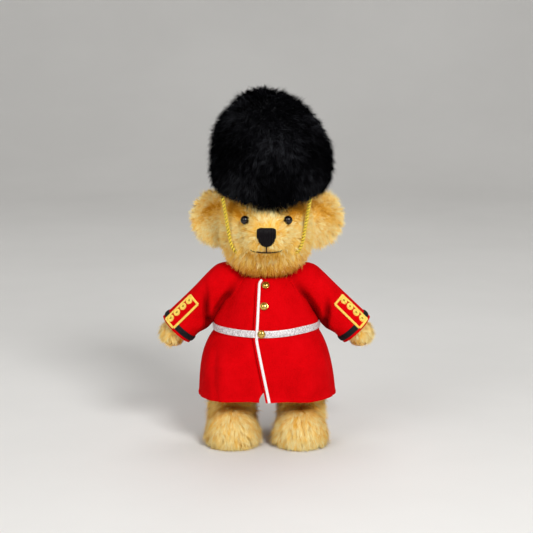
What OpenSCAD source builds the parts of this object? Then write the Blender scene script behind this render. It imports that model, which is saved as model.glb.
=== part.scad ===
// Jointed plush bear in a guard's coat and a tall fur hat.
// Millimetres, +Z up. The bear faces -Y and its own left side is +X.
// The origin lies on the floor below the middle of the bear.

/* [Cloth] */
// Thickness of the plush cloth with its pile laid down
plush_t = 3; // [2.5:0.25:3.25]
// Thickness of the felt of the coat
felt_t = 1.5; // [1:0.25:1.75]
// Clearance between pieces that move apart
gap = 0.3; // [0.25:0.05:0.4]

/* [Torso] */
// Radius of the belly
torso_r = 30.5; // [30:0.25:31]
// Height of the widest part of the belly
torso_z = 80; // [79:0.5:81]
// Depth of the torso below its widest part
torso_low_h = 37; // [36:0.5:38]
// Height of the torso's dome above its widest part, before the neck is cut
torso_top_h = 46; // [45:0.5:47]
// Radius of the flat face that the head turns on
neck_face_r = 17.2; // [17:0.1:17.6]

/* [Head] */
// Height of the middle of the skull above the face that the head turns on
head_up = 36.5; // [36:0.5:38]
// Radius of the skull
head_r = 31.5; // [31:0.25:32]
// Radius of the muzzle
muzzle_r = 15; // [14:0.5:15.5]
// Distance of the muzzle's centre in front of the skull's centre
muzzle_y = 25; // [24:0.5:27]
// Radius of the neck
neck_r = 11; // [10.75:0.25:11.5]
// Radius of the round eyes
eye_r = 3.1; // [2.6:0.1:3.5]
// Distance of an eye from the middle of the face, sideways
eye_x = 14.4; // [13.6:0.2:15.6]
// Height of the eyes above the middle of the skull
eye_up = 9.1; // [7.5:0.2:10.3]
// Radius of an ear
ear_r = 19; // [17:0.5:20]
// Distance of an ear's centre from the middle, sideways
ear_x = 35; // [34:0.5:37]
// Height of the ears' centres above the middle of the skull
ear_up = 5.5; // [4:0.5:6]
// Thickness of an ear at its middle
ear_t = 6; // [5:0.5:7]
// Depth of the hollow in the front of an ear
ear_cup = 4; // [3:0.5:5]
// Width of the stitched nose
nose_w = 12.4; // [11:0.2:13.4]
// Height of the stitched nose
nose_h = 12.4; // [11:0.2:13]
// Height of the nose's middle above the middle of the skull
nose_up = -1; // [-1.4:0.2:0]
// Distance of the mouth below the nose
mouth_drop = 4.3; // [3.8:0.1:4.8]
// Length of each side of the mouth
mouth_l = 11; // [9:0.5:12]

/* [Hat] */
// Height of the middle of the hat's rim above the middle of the skull
hat_up = 28.5; // [27.5:0.5:30]
// Radius of the hat at its rim
hat_rim_r = 38; // [37:0.5:40]
// Radius of the hat at its widest
hat_r = 42; // [41:0.5:44]
// Height of the widest part of the hat above its rim
hat_mid = 16; // [14:1:20]
// Height of the hat above its rim
hat_h = 69; // [65:1:72]
// Forward lean of the hat, degrees
hat_tilt = 8; // [6:1:9]
// Radius of the twisted chin cord
cord_r = 1.3; // [1:0.1:1.4]

/* [Arm] */
// Angle of a shoulder joint's axis above level, degrees
sh_tilt = 33; // [32:0.5:34]
// Depth of the flat that a shoulder disc presses into the torso
sh_flat = 1.4; // [1.3:0.1:1.6]
// Angle between an arm and the face of its joint, degrees
arm_flare = 12; // [11:0.5:13]
// Length of an arm from its joint to the tip of the paw
arm_l = 63; // [61:0.5:65]
// Radius of the upper arm
arm_r = 9.3; // [9:0.1:9.6]
// Radius of the paw
paw_r = 9.6; // [9.2:0.1:9.9]
// Radius of the round end of the arm at the shoulder
pad_r = 11; // [10.75:0.25:11.25]
// Length of the sleeve from the joint to the cuff
sleeve_l = 51; // [49:0.5:53]
// Radius of the sleeve at the shoulder
sleeve_r0 = 12; // [11.9:0.1:12.3]
// Radius of the sleeve at the cuff
sleeve_r1 = 13.2; // [12.8:0.1:13.6]
// Width of the black band round the cuff
band_w = 4.5; // [4:0.5:5]
// Length of the embroidered cuff patch
patch_l = 26; // [24:0.5:28]
// Angle that the cuff patch covers round the sleeve, degrees
patch_a = 48; // [44:1:52]

/* [Leg] */
// Distance of a hip joint's face from the middle
hip_x = 18.5; // [18:0.25:18.75]
// Distance of the hip joints below the widest part of the belly
hip_drop = 19; // [18.5:0.25:19.5]
// Distance of a leg's axis from the middle
leg_x = 25; // [24.75:0.25:25.25]
// Radius of the thigh
thigh_r = 12; // [11.75:0.25:12.25]
// Radius of the ankle and heel
heel_r = 15; // [14.5:0.25:15.25]
// Distance of a foot's axis from the middle
toe_x = 24.5; // [24:0.5:25.5]
// Distance of the toe's centre in front of the heel's
toe_y = 16; // [15:0.5:17]
// Radius of the toe
toe_r = 18.5; // [18:0.25:18.75]
// Height of the instep
foot_h = 28; // [26:0.5:30]
// Radius of the flat that a leg presses into the torso, wide enough for the thigh to swing
pocket_r = 21.5; // [21.25:0.25:22.5]
// Radius of the round clearance at the hip, beyond which the leg may lie under the torso
hip_clear_r = 27.5; // [27:0.25:28]
// Thickness of the felt sole
sole_t = 1; // [0.75:0.25:1.5]

/* [Coat] */
// Height of the waist seam above the widest part of the belly
waist_up = 0; // [-0.5:0.25:0.5]
// Length of the skirt from the waist seam to the hem
skirt_l = 44; // [43:0.5:45]
// Half width of the coat at the waist
waist_x = 37.4; // [37:0.1:37.8]
// Half depth of the coat at the waist
waist_y = 33.8; // [33.5:0.1:34.5]
// Half width of the coat at the hem
hem_x = 48.5; // [47.5:0.5:50]
// Half depth of the coat at the hem
hem_y = 36.5; // [36:0.5:38]
// Distance below the neck at which the coat starts to lie close to the torso
fit_drop = 12; // [11:0.5:13]
// Distance of the front edge from the middle at the waist
edge_waist = 7.7; // [7:0.1:8.4]
// Distance of the front edge from the middle at the hem, on the other side
edge_hem = 1; // [0.5:0.5:2]
// Width of the opening beside the front edge at the hem
slit_w = 6; // [5:0.5:7]
// Length of that opening
slit_l = 12; // [8:1:16]
// Angle from the front to the side of the skirt where its front part ends, degrees
flap_a = 70; // [69:0.5:71]
// Width of the ribbon belt
belt_w = 5.8; // [5:0.2:6.4]
// Thickness of the ribbon belt
belt_t = 0.6; // [0.5:0.1:0.8]
// Width of the white piping
piping_w = 1.8; // [1.4:0.1:2.2]
// Radius of a button
button_r = 2.8; // [2.4:0.1:3]
// Height of the collar
collar_h = 5; // [4:0.25:5.25]

/* [Joints] */
// Thickness of a joint disc
disc_t = 1.6; // [1.4:0.1:1.8]
// Thickness of a steel washer
washer_t = 0.8; // [0.6:0.1:1]
// Radius of a cotter pin
pin_r = 1; // [0.9:0.05:1.1]
// Running clearance round a cotter pin
pin_run = 0.08; // [0.05:0.01:0.1]
// Radius of the neck discs
neck_disc_r = 7.6; // [7.2:0.1:7.7]
// Radius of the shoulder discs
arm_disc_r = 6.2; // [5.8:0.1:6.4]
// Radius of the hip discs
leg_disc_r = 7.4; // [7:0.1:7.5]

/* [Hidden] */
$fn = 48;
// Sewn pieces of one body lie this far apart
seam = 0.2;
// A block larger than any piece, for plane cuts
big = 200;
// Washers and cotter pins
washer_r = 4;
head_of_pin_r = 2.2;
wire_r = 0.5;
curl_r = 1.6;
// Room left in the stuffing behind a joint's washer for the pin's curled end
curl_room = 2 * (curl_r + wire_r) + 2;
// Heights of the face that the head turns on, the skull, the hat's rim, the hips and the skirt
neck_z = torso_z + torso_top_h * sqrt(1 - pow(neck_face_r / torso_r, 2));
head_z = neck_z + head_up;
hat_z = head_z + hat_up;
hip_z = torso_z - hip_drop;
waist_z = torso_z + waist_up;
hem_z = waist_z - skirt_l;
slit_z = hem_z + slit_l;
// Coat on the torso
ease = 0.4;
fit_z = neck_z - fit_drop;
coat_top_z = neck_z + 1.8;
collar_r = neck_r + 0.5;
collar_t = 1.5;
piping_t = 0.8;
belt_z = waist_z + 1.2;
edge_neck_z = coat_top_z - 3.5;
edge_neck = 5.8;
edge_top = -4;
// Arm: height of its axis above the face of the joint, and the round end's height
arm_c = 9.5;
pad_h = 9.5;
pad_round = 1.2;
trim_t = 0.8;
// Sleeve: lies this far above the torso's face, over the coat round the armhole
sleeve_lift = ease + felt_t + 2 * gap;
armhole_r = pad_r + 0.6;
// Leg
ankle_z = 20;
toe_z = 8;
// Hat: set back a little, so that its lean brings it over the skull
hat_back = 1.5;
hat_lining_t = 1;
// Eye
shank_r = 0.9;
shank_l = 8;
shank_run = 0.1;
eye_out = 0.8;

// Where the line from skull to muzzle touches both circles
cone_a = acos(-(head_r - muzzle_r) / muzzle_y);
cone_w0 = -head_r * cos(cone_a);
cone_r0 = head_r * sin(cone_a);
cone_w1 = muzzle_y - muzzle_r * cos(cone_a);
cone_r1 = muzzle_r * sin(cone_a);
// The eyes lie on that line
eye_rad = norm([eye_x, eye_up]);
eye_roll = atan2(eye_x, eye_up);
eye_w = cone_w0 + (cone_w1 - cone_w0) * (cone_r0 - eye_rad) / (cone_r0 - cone_r1);
// The chin cord lies round the skull, just behind that line
cord_y = cone_w0 * (head_r + cord_r + seam) / head_r - seam;
cord_rad = sqrt(pow(head_r + cord_r + seam, 2) - cord_y * cord_y);
cord_low_a = 10;
// Where the shoulder's axis meets the flattened torso
sh_reach = norm([torso_r * cos(sh_tilt), torso_top_h * sin(sh_tilt)]);
sh_x = torso_r * torso_r * cos(sh_tilt) / sh_reach - sh_flat * cos(sh_tilt);
sh_z = torso_z + torso_top_h * torso_top_h * sin(sh_tilt) / sh_reach - sh_flat * sin(sh_tilt);

// Points of an arc about the axis, as radius and height
function arc(z, r, h, a0, a1, n) =
    [for (k = [0:n]) let (a = a0 + (a1 - a0) * k / n) [max(0, r * cos(a)), z + h * sin(a)]];

// Outline of the torso, set in by i
function torso_pts(i) = concat(
    arc(torso_z, torso_r - i, torso_low_h - i, -90, 0, 9),
    arc(torso_z, torso_r - i, torso_top_h - i, 9, 90, 9));

// Radius of the torso at a height
function torso_rad(z) = torso_r * sqrt(max(0, 1 - pow((z - torso_z) / torso_top_h, 2)));

// Half width and half depth of the coat at a height
function ease_part(z) = max(0, (fit_z - z) / (fit_z - waist_z));
function skirt_part(z) = (waist_z - z) / (waist_z - hem_z);
function snug(z) = torso_rad(min(z, neck_z)) + ease + felt_t - 0.75 * max(0, z - neck_z);
function coat_x(z) = z < waist_z ? waist_x + (hem_x - waist_x) * skirt_part(z)
    : snug(z) + (waist_x - snug(waist_z)) * ease_part(z);
function coat_y(z) = z < waist_z ? waist_y + (hem_y - waist_y) * skirt_part(z)
    : snug(z) + (waist_y - snug(waist_z)) * ease_part(z);

// A point of the coat at an angle from the front, set in by i
function coat_pt(a, z, i) = [(coat_x(z) - i) * sin(a), -(coat_y(z) - i) * cos(a), z];

// Front edge of the overlapping coat front: sideways place, and its angle
function edge_x(z) = z < waist_z ? -edge_waist + (edge_hem + edge_waist) * skirt_part(z)
    : z < edge_neck_z ? -edge_waist + (edge_waist - edge_neck) * (z - waist_z) / (edge_neck_z - waist_z)
    : -edge_neck + (edge_top + edge_neck) * pow((z - edge_neck_z) / (coat_top_z - edge_neck_z), 2);
function edge_a(z, dx) = asin((edge_x(z) + dx) / coat_x(z));
// Front edge of the other side of the skirt, which opens below the belt
function slit_a(z) = edge_a(z, -gap - seam - slit_w * max(0, (slit_z - z) / (slit_z - hem_z)));

// Outline of the skull and muzzle, set in by i, as radius and distance forward
function face_pts(i) = concat(
    [for (k = [0:10]) let (a = cone_a * k / 10) [(head_r - i) * sin(a), -(head_r - i) * cos(a)]],
    [for (k = [0:6]) let (a = cone_a + (180 - cone_a) * k / 6)
        [max(0, (muzzle_r - i) * sin(a)), muzzle_y - (muzzle_r - i) * cos(a)]]);

// Outline of an ear: hollow in front, rounded at the rim
function ear_front(r) = -ear_cup * (1 - pow(r / ear_r, 2));
function ear_back(r) = ear_front(r) - ear_t * sqrt(max(0, 1 - pow(r / ear_r, 6)));
function ear_pts() = concat(
    [for (k = [0:8]) [ear_r * k / 8, ear_front(ear_r * k / 8)]],
    [for (k = [1:10]) let (r = ear_r * cos(9 * k)) [max(0, r), ear_back(max(0, r))]]);

// Outline of the hat, set in by i, from the height b upward
function hat_pts(i, b) = concat(
    [[0, b], [hat_rim_r - i, b]],
    arc(hat_mid, hat_r - i, hat_h - hat_mid - i, 0, 90, 12));

// Outline of the arm along its own axis, set in by i
function arm_pts(i) = concat(
    arc(0, arm_r - i, arm_r - i, -90, 0, 6),
    arc(arm_l - paw_r, paw_r - i, paw_r - i, 0, 90, 8));

// Outline of the arm's round end about the joint's axis, of radius r, from height b to t
function pad_pts(r, b, t) = concat(
    [[0, b], [r - pad_round, b], [r, b + pad_round]],
    arc(arm_c, r, t - arm_c, 0, 90, 8));

// Outside radius of the sleeve at a distance along the arm
function sleeve_rad(s) = sleeve_r0 + (sleeve_r1 - sleeve_r0) * s / sleeve_l;

// Outline of the sleeve along the arm, set in by i, ending past the cuff by e
function sleeve_pts(i, e) = concat(
    arc(0, sleeve_r0 - i, sleeve_r0 - i, -90, 0, 6),
    [[sleeve_rad(sleeve_l + e) - i, sleeve_l + e], [0, sleeve_l + e]]);

// Outline of the leg about its own axis, set in by i
function leg_pts(i) = concat(
    [[0, sole_t + i], [heel_r - i, sole_t + i], [heel_r - i, ankle_z]],
    arc(hip_z, thigh_r - i, thigh_r - i, 0, 90, 8));

// Outline of the toe, set in by i
function toe_pts(i) = concat(
    [[0, sole_t + i], [toe_r - 2 - i, sole_t + i]],
    arc(toe_z, toe_r - i, foot_h - toe_z - i, 0, 90, 9));

module turned(pts) rotate_extrude() polygon(pts);

// Places for the joints of the left side, with Z along the joint's axis
module at_neck() translate([0, 0, neck_z]) children();
module at_shoulder() translate([sh_x, 0, sh_z]) rotate([0, 90 - sh_tilt, 0]) children();
module at_hip() translate([hip_x, 0, hip_z]) rotate([0, 90, 0]) children();
// Along the left arm, with X toward the body
module along_arm() at_shoulder() translate([0, 0, arm_c]) rotate([0, 90 - arm_flare, 0]) children();
// At the skull, with Z forward
module at_face() translate([0, 0, head_z]) rotate([90, 0, 0]) children();
module at_hat() translate([0, hat_back, hat_z]) rotate([hat_tilt, 0, 0]) children();
module at_eye() translate([0, 0, head_z]) rotate([0, eye_roll, 0])
    translate([0, -eye_w, eye_rad]) rotate([cone_a - 90, 0, 0]) children();
module right() mirror([1, 0, 0]) children();
module both() {
    children();
    mirror([1, 0, 0]) children();
}

// Parts of a joint. The torso's face is at Z 0 and the limb lies above it
module torso_disc(r) translate([0, 0, -plush_t - disc_t]) difference() {
    cylinder(r = r, h = disc_t);
    translate([0, 0, -1]) cylinder(r = pin_r + pin_run, h = disc_t + 2);
}
module torso_washer() translate([0, 0, -plush_t - disc_t - washer_t]) difference() {
    cylinder(r = washer_r, h = washer_t);
    translate([0, 0, -1]) cylinder(r = pin_r + pin_run, h = washer_t + 2);
}
module limb_disc(r) translate([0, 0, gap + plush_t]) difference() {
    cylinder(r = r, h = disc_t);
    translate([0, 0, -1]) cylinder(r = pin_r + pin_run, h = disc_t + 2);
}
module limb_washer() translate([0, 0, gap + plush_t + disc_t]) difference() {
    cylinder(r = washer_r, h = washer_t);
    translate([0, 0, -1]) cylinder(r = pin_r + pin_run, h = washer_t + 2);
}
// Cotter pin: eye on the limb's washer, shank through both discs, two curled ends
pin_top = gap + plush_t + disc_t + washer_t;
pin_low = -plush_t - disc_t - washer_t - gap - curl_r - wire_r;
module cotter_pin() {
    translate([0, 0, pin_low]) cylinder(r = pin_r, h = pin_top - pin_low + head_of_pin_r);
    translate([0, 0, pin_top]) cylinder(r = head_of_pin_r, h = 1.2);
    translate([0, 0, pin_top + 1.2 + head_of_pin_r - 0.6]) rotate([90, 0, 0]) rotate_extrude()
        translate([head_of_pin_r - wire_r, 0]) circle(r = wire_r, $fn = 16);
    for (s = [-1, 1]) translate([s * curl_r, 0, pin_low]) rotate([90, 0, 0])
        rotate([0, 0, s > 0 ? 180 : 90]) rotate_extrude(angle = 270)
            translate([curl_r, 0]) circle(r = wire_r, $fn = 16);
}
// Rooms that a joint takes up in the torso's stuffing and in a limb's
module torso_room(r) translate([0, 0, pin_low - curl_room])
    cylinder(r = r + seam, h = curl_room - pin_low);
module limb_room(r) cylinder(r = r + seam, h = pin_top + 2 * head_of_pin_r + 2);
module pin_bore() translate([0, 0, -big / 2]) cylinder(r = pin_r + pin_run, h = big);
module short_bore() translate([0, 0, -plush_t - 1]) cylinder(r = pin_r + pin_run, h = 2 * plush_t + 3);

// Torso
module torso_form(i) difference() {
    turned(torso_pts(i));
    translate([-big / 2, -big / 2, neck_z - i]) cube(big);
    both() at_shoulder() translate([-big / 4, -big / 4, -i]) cube(big / 2);
    both() at_hip() translate([0, 0, -i]) cylinder(r = pocket_r + i, h = big);
}
module torso_plush() color([0.82, 0.62, 0.26]) difference() {
    torso_form(0);
    torso_form(plush_t);
    at_neck() short_bore();
    both() at_shoulder() short_bore();
    both() at_hip() short_bore();
}
module torso_stuffing() color([0.93, 0.92, 0.88]) difference() {
    torso_form(plush_t + seam);
    at_neck() torso_room(neck_disc_r);
    both() at_shoulder() torso_room(arm_disc_r);
    both() at_hip() torso_room(leg_disc_r);
}
module torso_discs() color([0.72, 0.56, 0.36]) {
    at_neck() torso_disc(neck_disc_r);
    both() at_shoulder() torso_disc(arm_disc_r);
    both() at_hip() torso_disc(leg_disc_r);
}
module torso_washers() color([0.7, 0.7, 0.72]) {
    at_neck() torso_washer();
    both() at_shoulder() torso_washer();
    both() at_hip() torso_washer();
}

// Coat. A felt panel between two heights and two edges, closed on every side
module panel(z0, z1, lo, hi, out_i, in_i, na, nz) {
    function row(i) = [for (k = [0:nz]) let (z = z0 + (z1 - z0) * k / nz) for (j = [0:na])
        coat_pt(lo(z) + (hi(z) - lo(z)) * j / na, z, i)];
    w = na + 1;
    n = w * (nz + 1);
    top = nz * w;
    skin = [for (k = [0:nz - 1]) for (j = [0:na - 1]) let (p = k * w + j) each
        [[p, p + w, p + w + 1], [p, p + w + 1, p + 1],
         [n + p, n + p + w + 1, n + p + w], [n + p, n + p + 1, n + p + w + 1]]];
    rims = [for (j = [0:na - 1]) each
        [[j, j + 1, n + j + 1], [j, n + j + 1, n + j],
         [top + j, n + top + j + 1, top + j + 1], [top + j, n + top + j, n + top + j + 1]]];
    sides = [for (k = [0:nz - 1]) let (p = k * w, q = k * w + na) each
        [[n + p, n + p + w, p + w], [n + p, p + w, p],
         [n + q, q + w, n + q + w], [n + q, q, q + w]]];
    polyhedron(points = concat(row(out_i), row(in_i)), faces = concat(skin, rims, sides));
}
module armhole() at_shoulder() translate([0, 0, -armhole_r]) cylinder(r = armhole_r, h = 3 * armhole_r);
seam_a = 0.2;
module coat_front_left() color([0.86, 0.04, 0.05]) difference() {
    panel(waist_z, coat_top_z, function(z) edge_a(z, 0), function(z) 90 - seam_a, 0, felt_t, 12, 20);
    armhole();
}
module coat_front_right() color([0.86, 0.04, 0.05]) difference() {
    panel(waist_z, coat_top_z, function(z) -90 + seam_a, function(z) edge_a(z, -gap), 0, felt_t, 12, 20);
    right() armhole();
}
module coat_back() color([0.86, 0.04, 0.05]) difference() {
    panel(waist_z, coat_top_z, function(z) 90, function(z) 270, 0, felt_t, 24, 10);
    both() armhole();
}
// The skirt's back goes round the sides. Its front parts hang on the waist seam and lift
flap_gap_a = 0.6;
module skirt_back() color([0.86, 0.04, 0.05])
    panel(hem_z, waist_z - seam, function(z) flap_a, function(z) 360 - flap_a, 0, felt_t, 28, 6);
module skirt_left() color([0.86, 0.04, 0.05])
    panel(hem_z, waist_z - gap, function(z) edge_a(z, 0), function(z) flap_a - flap_gap_a,
        0, felt_t, 12, 6);
module skirt_right() color([0.86, 0.04, 0.05])
    panel(hem_z, waist_z - gap, function(z) -flap_a + flap_gap_a, function(z) slit_a(z),
        0, felt_t, 12, 6);
module coat_piping() color([0.93, 0.92, 0.9])
    panel(waist_z, coat_top_z, function(z) edge_a(z, 0), function(z) edge_a(z, piping_w),
        -seam - piping_t, -seam, 2, 24);
module skirt_piping() color([0.93, 0.92, 0.9])
    panel(hem_z, waist_z - gap, function(z) edge_a(z, 0), function(z) edge_a(z, piping_w),
        -seam - piping_t, -seam, 2, 6);
module belt() color([0.85, 0.84, 0.84])
    panel(belt_z, belt_z + belt_w, function(z) edge_a(z, piping_w + seam),
        function(z) 360 + edge_a(z, -seam), -seam - belt_t, -seam, 48, 2);
module collar() color([0.8, 0.03, 0.04]) translate([0, 0, neck_z + seam]) difference() {
    cylinder(r = collar_r + collar_t, h = collar_h);
    translate([0, 0, -1]) cylinder(r = collar_r, h = collar_h + 2);
}
// Three domed buttons down the front, the lowest on the belt
button_dx = [5.2, 4.9, 4.1];
button_mid = 0.58;
button_top_z = edge_neck_z + 0.2;
button_low_z = belt_z + belt_w / 2 + 0.4;
button_z = [button_top_z, button_low_z + button_mid * (button_top_z - button_low_z), button_low_z];
button_seat = [seam, seam, 2 * seam + belt_t];
// A button's flat back stands off the round coat by this much more, and leans with its slope
function button_lift(z) = button_r * button_r / coat_x(z);
function coat_lean(z) = atan((coat_y(z - 1) - coat_y(z + 1)) / 2);
module button() turned(concat([[0, 0], [button_r - 0.4, 0], [button_r, 0.4]],
    arc(0.8, button_r, 1.2, 0, 90, 6)));
module buttons() color([0.85, 0.65, 0.2]) for (k = [0:2]) let (z = button_z[k], a = edge_a(z, button_dx[k]))
    translate(coat_pt(a, z, -button_seat[k] - button_lift(z))) rotate([90, 0, 0])
        rotate([-coat_lean(z), a, 0]) button();

// Head
module face_form(i) at_face() turned(face_pts(i));
module head_form(i) {
    face_form(i);
    translate([0, 0, neck_z + gap + i]) cylinder(r = neck_r - i, h = head_z - neck_z - gap - i);
}
module eye_bores() both() at_eye() {
    translate([0, 0, eye_out]) sphere(r = eye_r + seam);
    translate([0, 0, -shank_l - 0.5]) cylinder(r = shank_r + shank_run, h = shank_l);
}
module head_plush() color([0.86, 0.68, 0.34]) difference() {
    head_form(0);
    head_form(plush_t);
    at_neck() short_bore();
    eye_bores();
}
module head_stuffing() color([0.93, 0.92, 0.88]) difference() {
    head_form(plush_t + seam);
    at_neck() limb_room(neck_disc_r);
    eye_bores();
}
module eye_left() color([0.03, 0.03, 0.03]) at_eye() {
    translate([0, 0, eye_out]) sphere(r = eye_r);
    translate([0, 0, -shank_l]) cylinder(r = shank_r, h = shank_l);
}
module eye_right() right() eye_left();
module ear_left() color([0.85, 0.65, 0.28]) difference() {
    translate([ear_x, 1, head_z + ear_up]) rotate([0, 0, 18]) rotate([90, 0, 0]) turned(ear_pts());
    face_form(-seam);
}
module ear_right() right() ear_left();
// The nose is a stitched shield on the tip of the muzzle
module nose() color([0.05, 0.04, 0.05]) intersection() {
    at_face() translate([0, nose_up, muzzle_y]) linear_extrude(height = big) polygon([
        [-nose_w / 2, nose_h / 2 - 1], [-nose_w / 2 + 1.5, nose_h / 2],
        [nose_w / 2 - 1.5, nose_h / 2], [nose_w / 2, nose_h / 2 - 1],
        [nose_w / 2 - 0.5, 0], [1.6, -nose_h / 2], [-1.6, -nose_h / 2], [-nose_w / 2 + 0.5, 0]]);
    at_face() translate([0, 0, muzzle_y]) difference() {
        sphere(r = muzzle_r + seam + 1.6);
        sphere(r = muzzle_r + seam);
    }
}
mouth_t = 1.1;
module mouth() color([0.05, 0.04, 0.05]) intersection() {
    at_face() translate([0, nose_up - nose_h / 2 - mouth_t, 0]) linear_extrude(height = big) {
        translate([-mouth_t / 2, mouth_t / 2 - mouth_drop]) square([mouth_t, mouth_drop]);
        for (s = [-1, 1]) translate([0, mouth_t - mouth_drop]) rotate([0, 0, s > 0 ? 4 : 176])
            translate([0, -mouth_t / 2]) square([mouth_l, mouth_t]);
    }
    difference() {
        face_form(-seam - 0.9);
        face_form(-seam);
    }
}
module hat_plush() color([0.05, 0.05, 0.055]) at_hat() difference() {
    turned(hat_pts(0, 0));
    turned(hat_pts(plush_t, -1));
}
module hat_stuffing() color([0.93, 0.92, 0.88]) difference() {
    at_hat() turned(hat_pts(plush_t + seam, hat_lining_t + seam));
    face_form(-seam);
}
module hat_lining() color([0.08, 0.08, 0.08]) difference() {
    at_hat() cylinder(r = hat_rim_r - plush_t - seam, h = hat_lining_t);
    face_form(-seam);
}
// The chin cord goes round under the chin and straight up to the hat's rim at both sides.
// Its straight ends start inside the round part and are a little thinner
cord_lap = 0.5;
cord_step = 0.05;
cord_end_z = hat_z - (cord_y + hat_back) * tan(hat_tilt) - cord_r - seam;
cord_side = [cord_rad * cos(cord_low_a), -cord_y, head_z - cord_rad * sin(cord_low_a)];
cord_rise = (cord_end_z - cord_side[2]) / cos(cord_low_a);
module chin_cord() color([0.85, 0.62, 0.15]) {
    translate([0, -cord_y, head_z]) rotate([90, 0, 0]) rotate([0, 0, 180 + cord_low_a])
        rotate_extrude(angle = 180 - 2 * cord_low_a) translate([cord_rad, 0]) circle(r = cord_r);
    both() translate(cord_side) rotate([0, cord_low_a, 0]) translate([0, 0, -cord_lap])
        cylinder(r = cord_r - cord_step, h = cord_rise + cord_lap);
}
module head_disc() color([0.72, 0.56, 0.36]) at_neck() limb_disc(neck_disc_r);
module head_washer() color([0.7, 0.7, 0.72]) at_neck() limb_washer();
module neck_pin() color([0.7, 0.7, 0.72]) at_neck() cotter_pin();

// Arms
module arm_form(i) difference() {
    union() {
        along_arm() turned(arm_pts(i));
        at_shoulder() turned(pad_pts(pad_r - i, gap + i, arm_c + pad_h - i));
    }
    at_shoulder() translate([-big / 2, -big / 2, gap + i - big]) cube(big);
}
module arm_left_plush() color([0.82, 0.62, 0.26]) difference() {
    arm_form(0);
    arm_form(plush_t);
    at_shoulder() short_bore();
}
module arm_left_stuffing() color([0.93, 0.92, 0.88]) difference() {
    arm_form(plush_t + seam);
    at_shoulder() limb_room(arm_disc_r);
}
module paw_pad_left() color([0.66, 0.45, 0.2]) along_arm() translate([0, 0, arm_l - paw_r])
    rotate([0, 45, 0]) rotate_extrude() polygon(concat(
        arc(0, paw_r + seam, paw_r + seam, 52, 90, 6),
        arc(0, paw_r + seam + trim_t, paw_r + seam + trim_t, 90, 52, 6)));
module sleeve_form(i, e) {
    along_arm() turned(sleeve_pts(i, e));
    at_shoulder() turned(pad_pts(pad_r + ease + felt_t - i, 0, arm_c + pad_h + ease + felt_t - i));
}
module sleeve_left() color([0.86, 0.04, 0.05]) difference() {
    sleeve_form(0, 0);
    sleeve_form(felt_t, 1);
    at_shoulder() translate([-big / 2, -big / 2, sleeve_lift - big]) cube(big);
}
// A strip on the sleeve between two distances along the arm, over an angle
module strip(s0, s1, a, t) rotate_extrude(angle = a) polygon([
    [sleeve_rad(s0) + seam, s0], [sleeve_rad(s0) + seam + t, s0],
    [sleeve_rad(s1) + seam + t, s1], [sleeve_rad(s1) + seam, s1]]);
patch_mid = 235;
band_end = 1.8;
module cuff_band_left() color([0.04, 0.04, 0.045]) along_arm()
    rotate([0, 0, patch_mid + patch_a / 2 + 1])
        strip(sleeve_l - band_end - band_w, sleeve_l - band_end, 358 - patch_a, trim_t);
module cuff_patch_left() color([0.85, 0.62, 0.1]) along_arm()
    rotate([0, 0, patch_mid - patch_a / 2])
        strip(sleeve_l - 1 - patch_l, sleeve_l - 1, patch_a, trim_t);
module arm_disc_left() color([0.72, 0.56, 0.36]) at_shoulder() limb_disc(arm_disc_r);
module arm_washer_left() color([0.7, 0.7, 0.72]) at_shoulder() limb_washer();
module arm_pin_left() color([0.7, 0.7, 0.72]) at_shoulder() cotter_pin();
module arm_right_plush() right() arm_left_plush();
module arm_right_stuffing() right() arm_left_stuffing();
module paw_pad_right() right() paw_pad_left();
module sleeve_right() right() sleeve_left();
module cuff_band_right() right() cuff_band_left();
module cuff_patch_right() right() cuff_patch_left();
module arm_disc_right() right() arm_disc_left();
module arm_washer_right() right() arm_washer_left();
module arm_pin_right() right() arm_pin_left();

// Legs
module leg_form(i) difference() {
    union() {
        translate([leg_x, 0, 0]) turned(leg_pts(i));
        translate([toe_x, -toe_y, 0]) turned(toe_pts(i));
    }
    translate([0, 0, hip_z]) rotate([0, 90, 0]) cylinder(r = hip_clear_r + i, h = hip_x + gap + i);
}
module leg_left_plush() color([0.82, 0.62, 0.26]) difference() {
    leg_form(0);
    leg_form(plush_t);
    at_hip() short_bore();
}
module leg_left_stuffing() color([0.93, 0.92, 0.88]) difference() {
    leg_form(plush_t + seam);
    at_hip() limb_room(leg_disc_r);
}
module foot_pad_left() color([0.66, 0.45, 0.2]) linear_extrude(height = sole_t) hull() {
    translate([leg_x, 0]) circle(r = heel_r - 1.5);
    translate([toe_x, -toe_y]) circle(r = toe_r - 2.5);
}
module leg_disc_left() color([0.72, 0.56, 0.36]) at_hip() limb_disc(leg_disc_r);
module leg_washer_left() color([0.7, 0.7, 0.72]) at_hip() limb_washer();
module leg_pin_left() color([0.7, 0.7, 0.72]) at_hip() cotter_pin();
module leg_right_plush() right() leg_left_plush();
module leg_right_stuffing() right() leg_left_stuffing();
module foot_pad_right() right() foot_pad_left();
module leg_disc_right() right() leg_disc_left();
module leg_washer_right() right() leg_washer_left();
module leg_pin_right() right() leg_pin_left();

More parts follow.
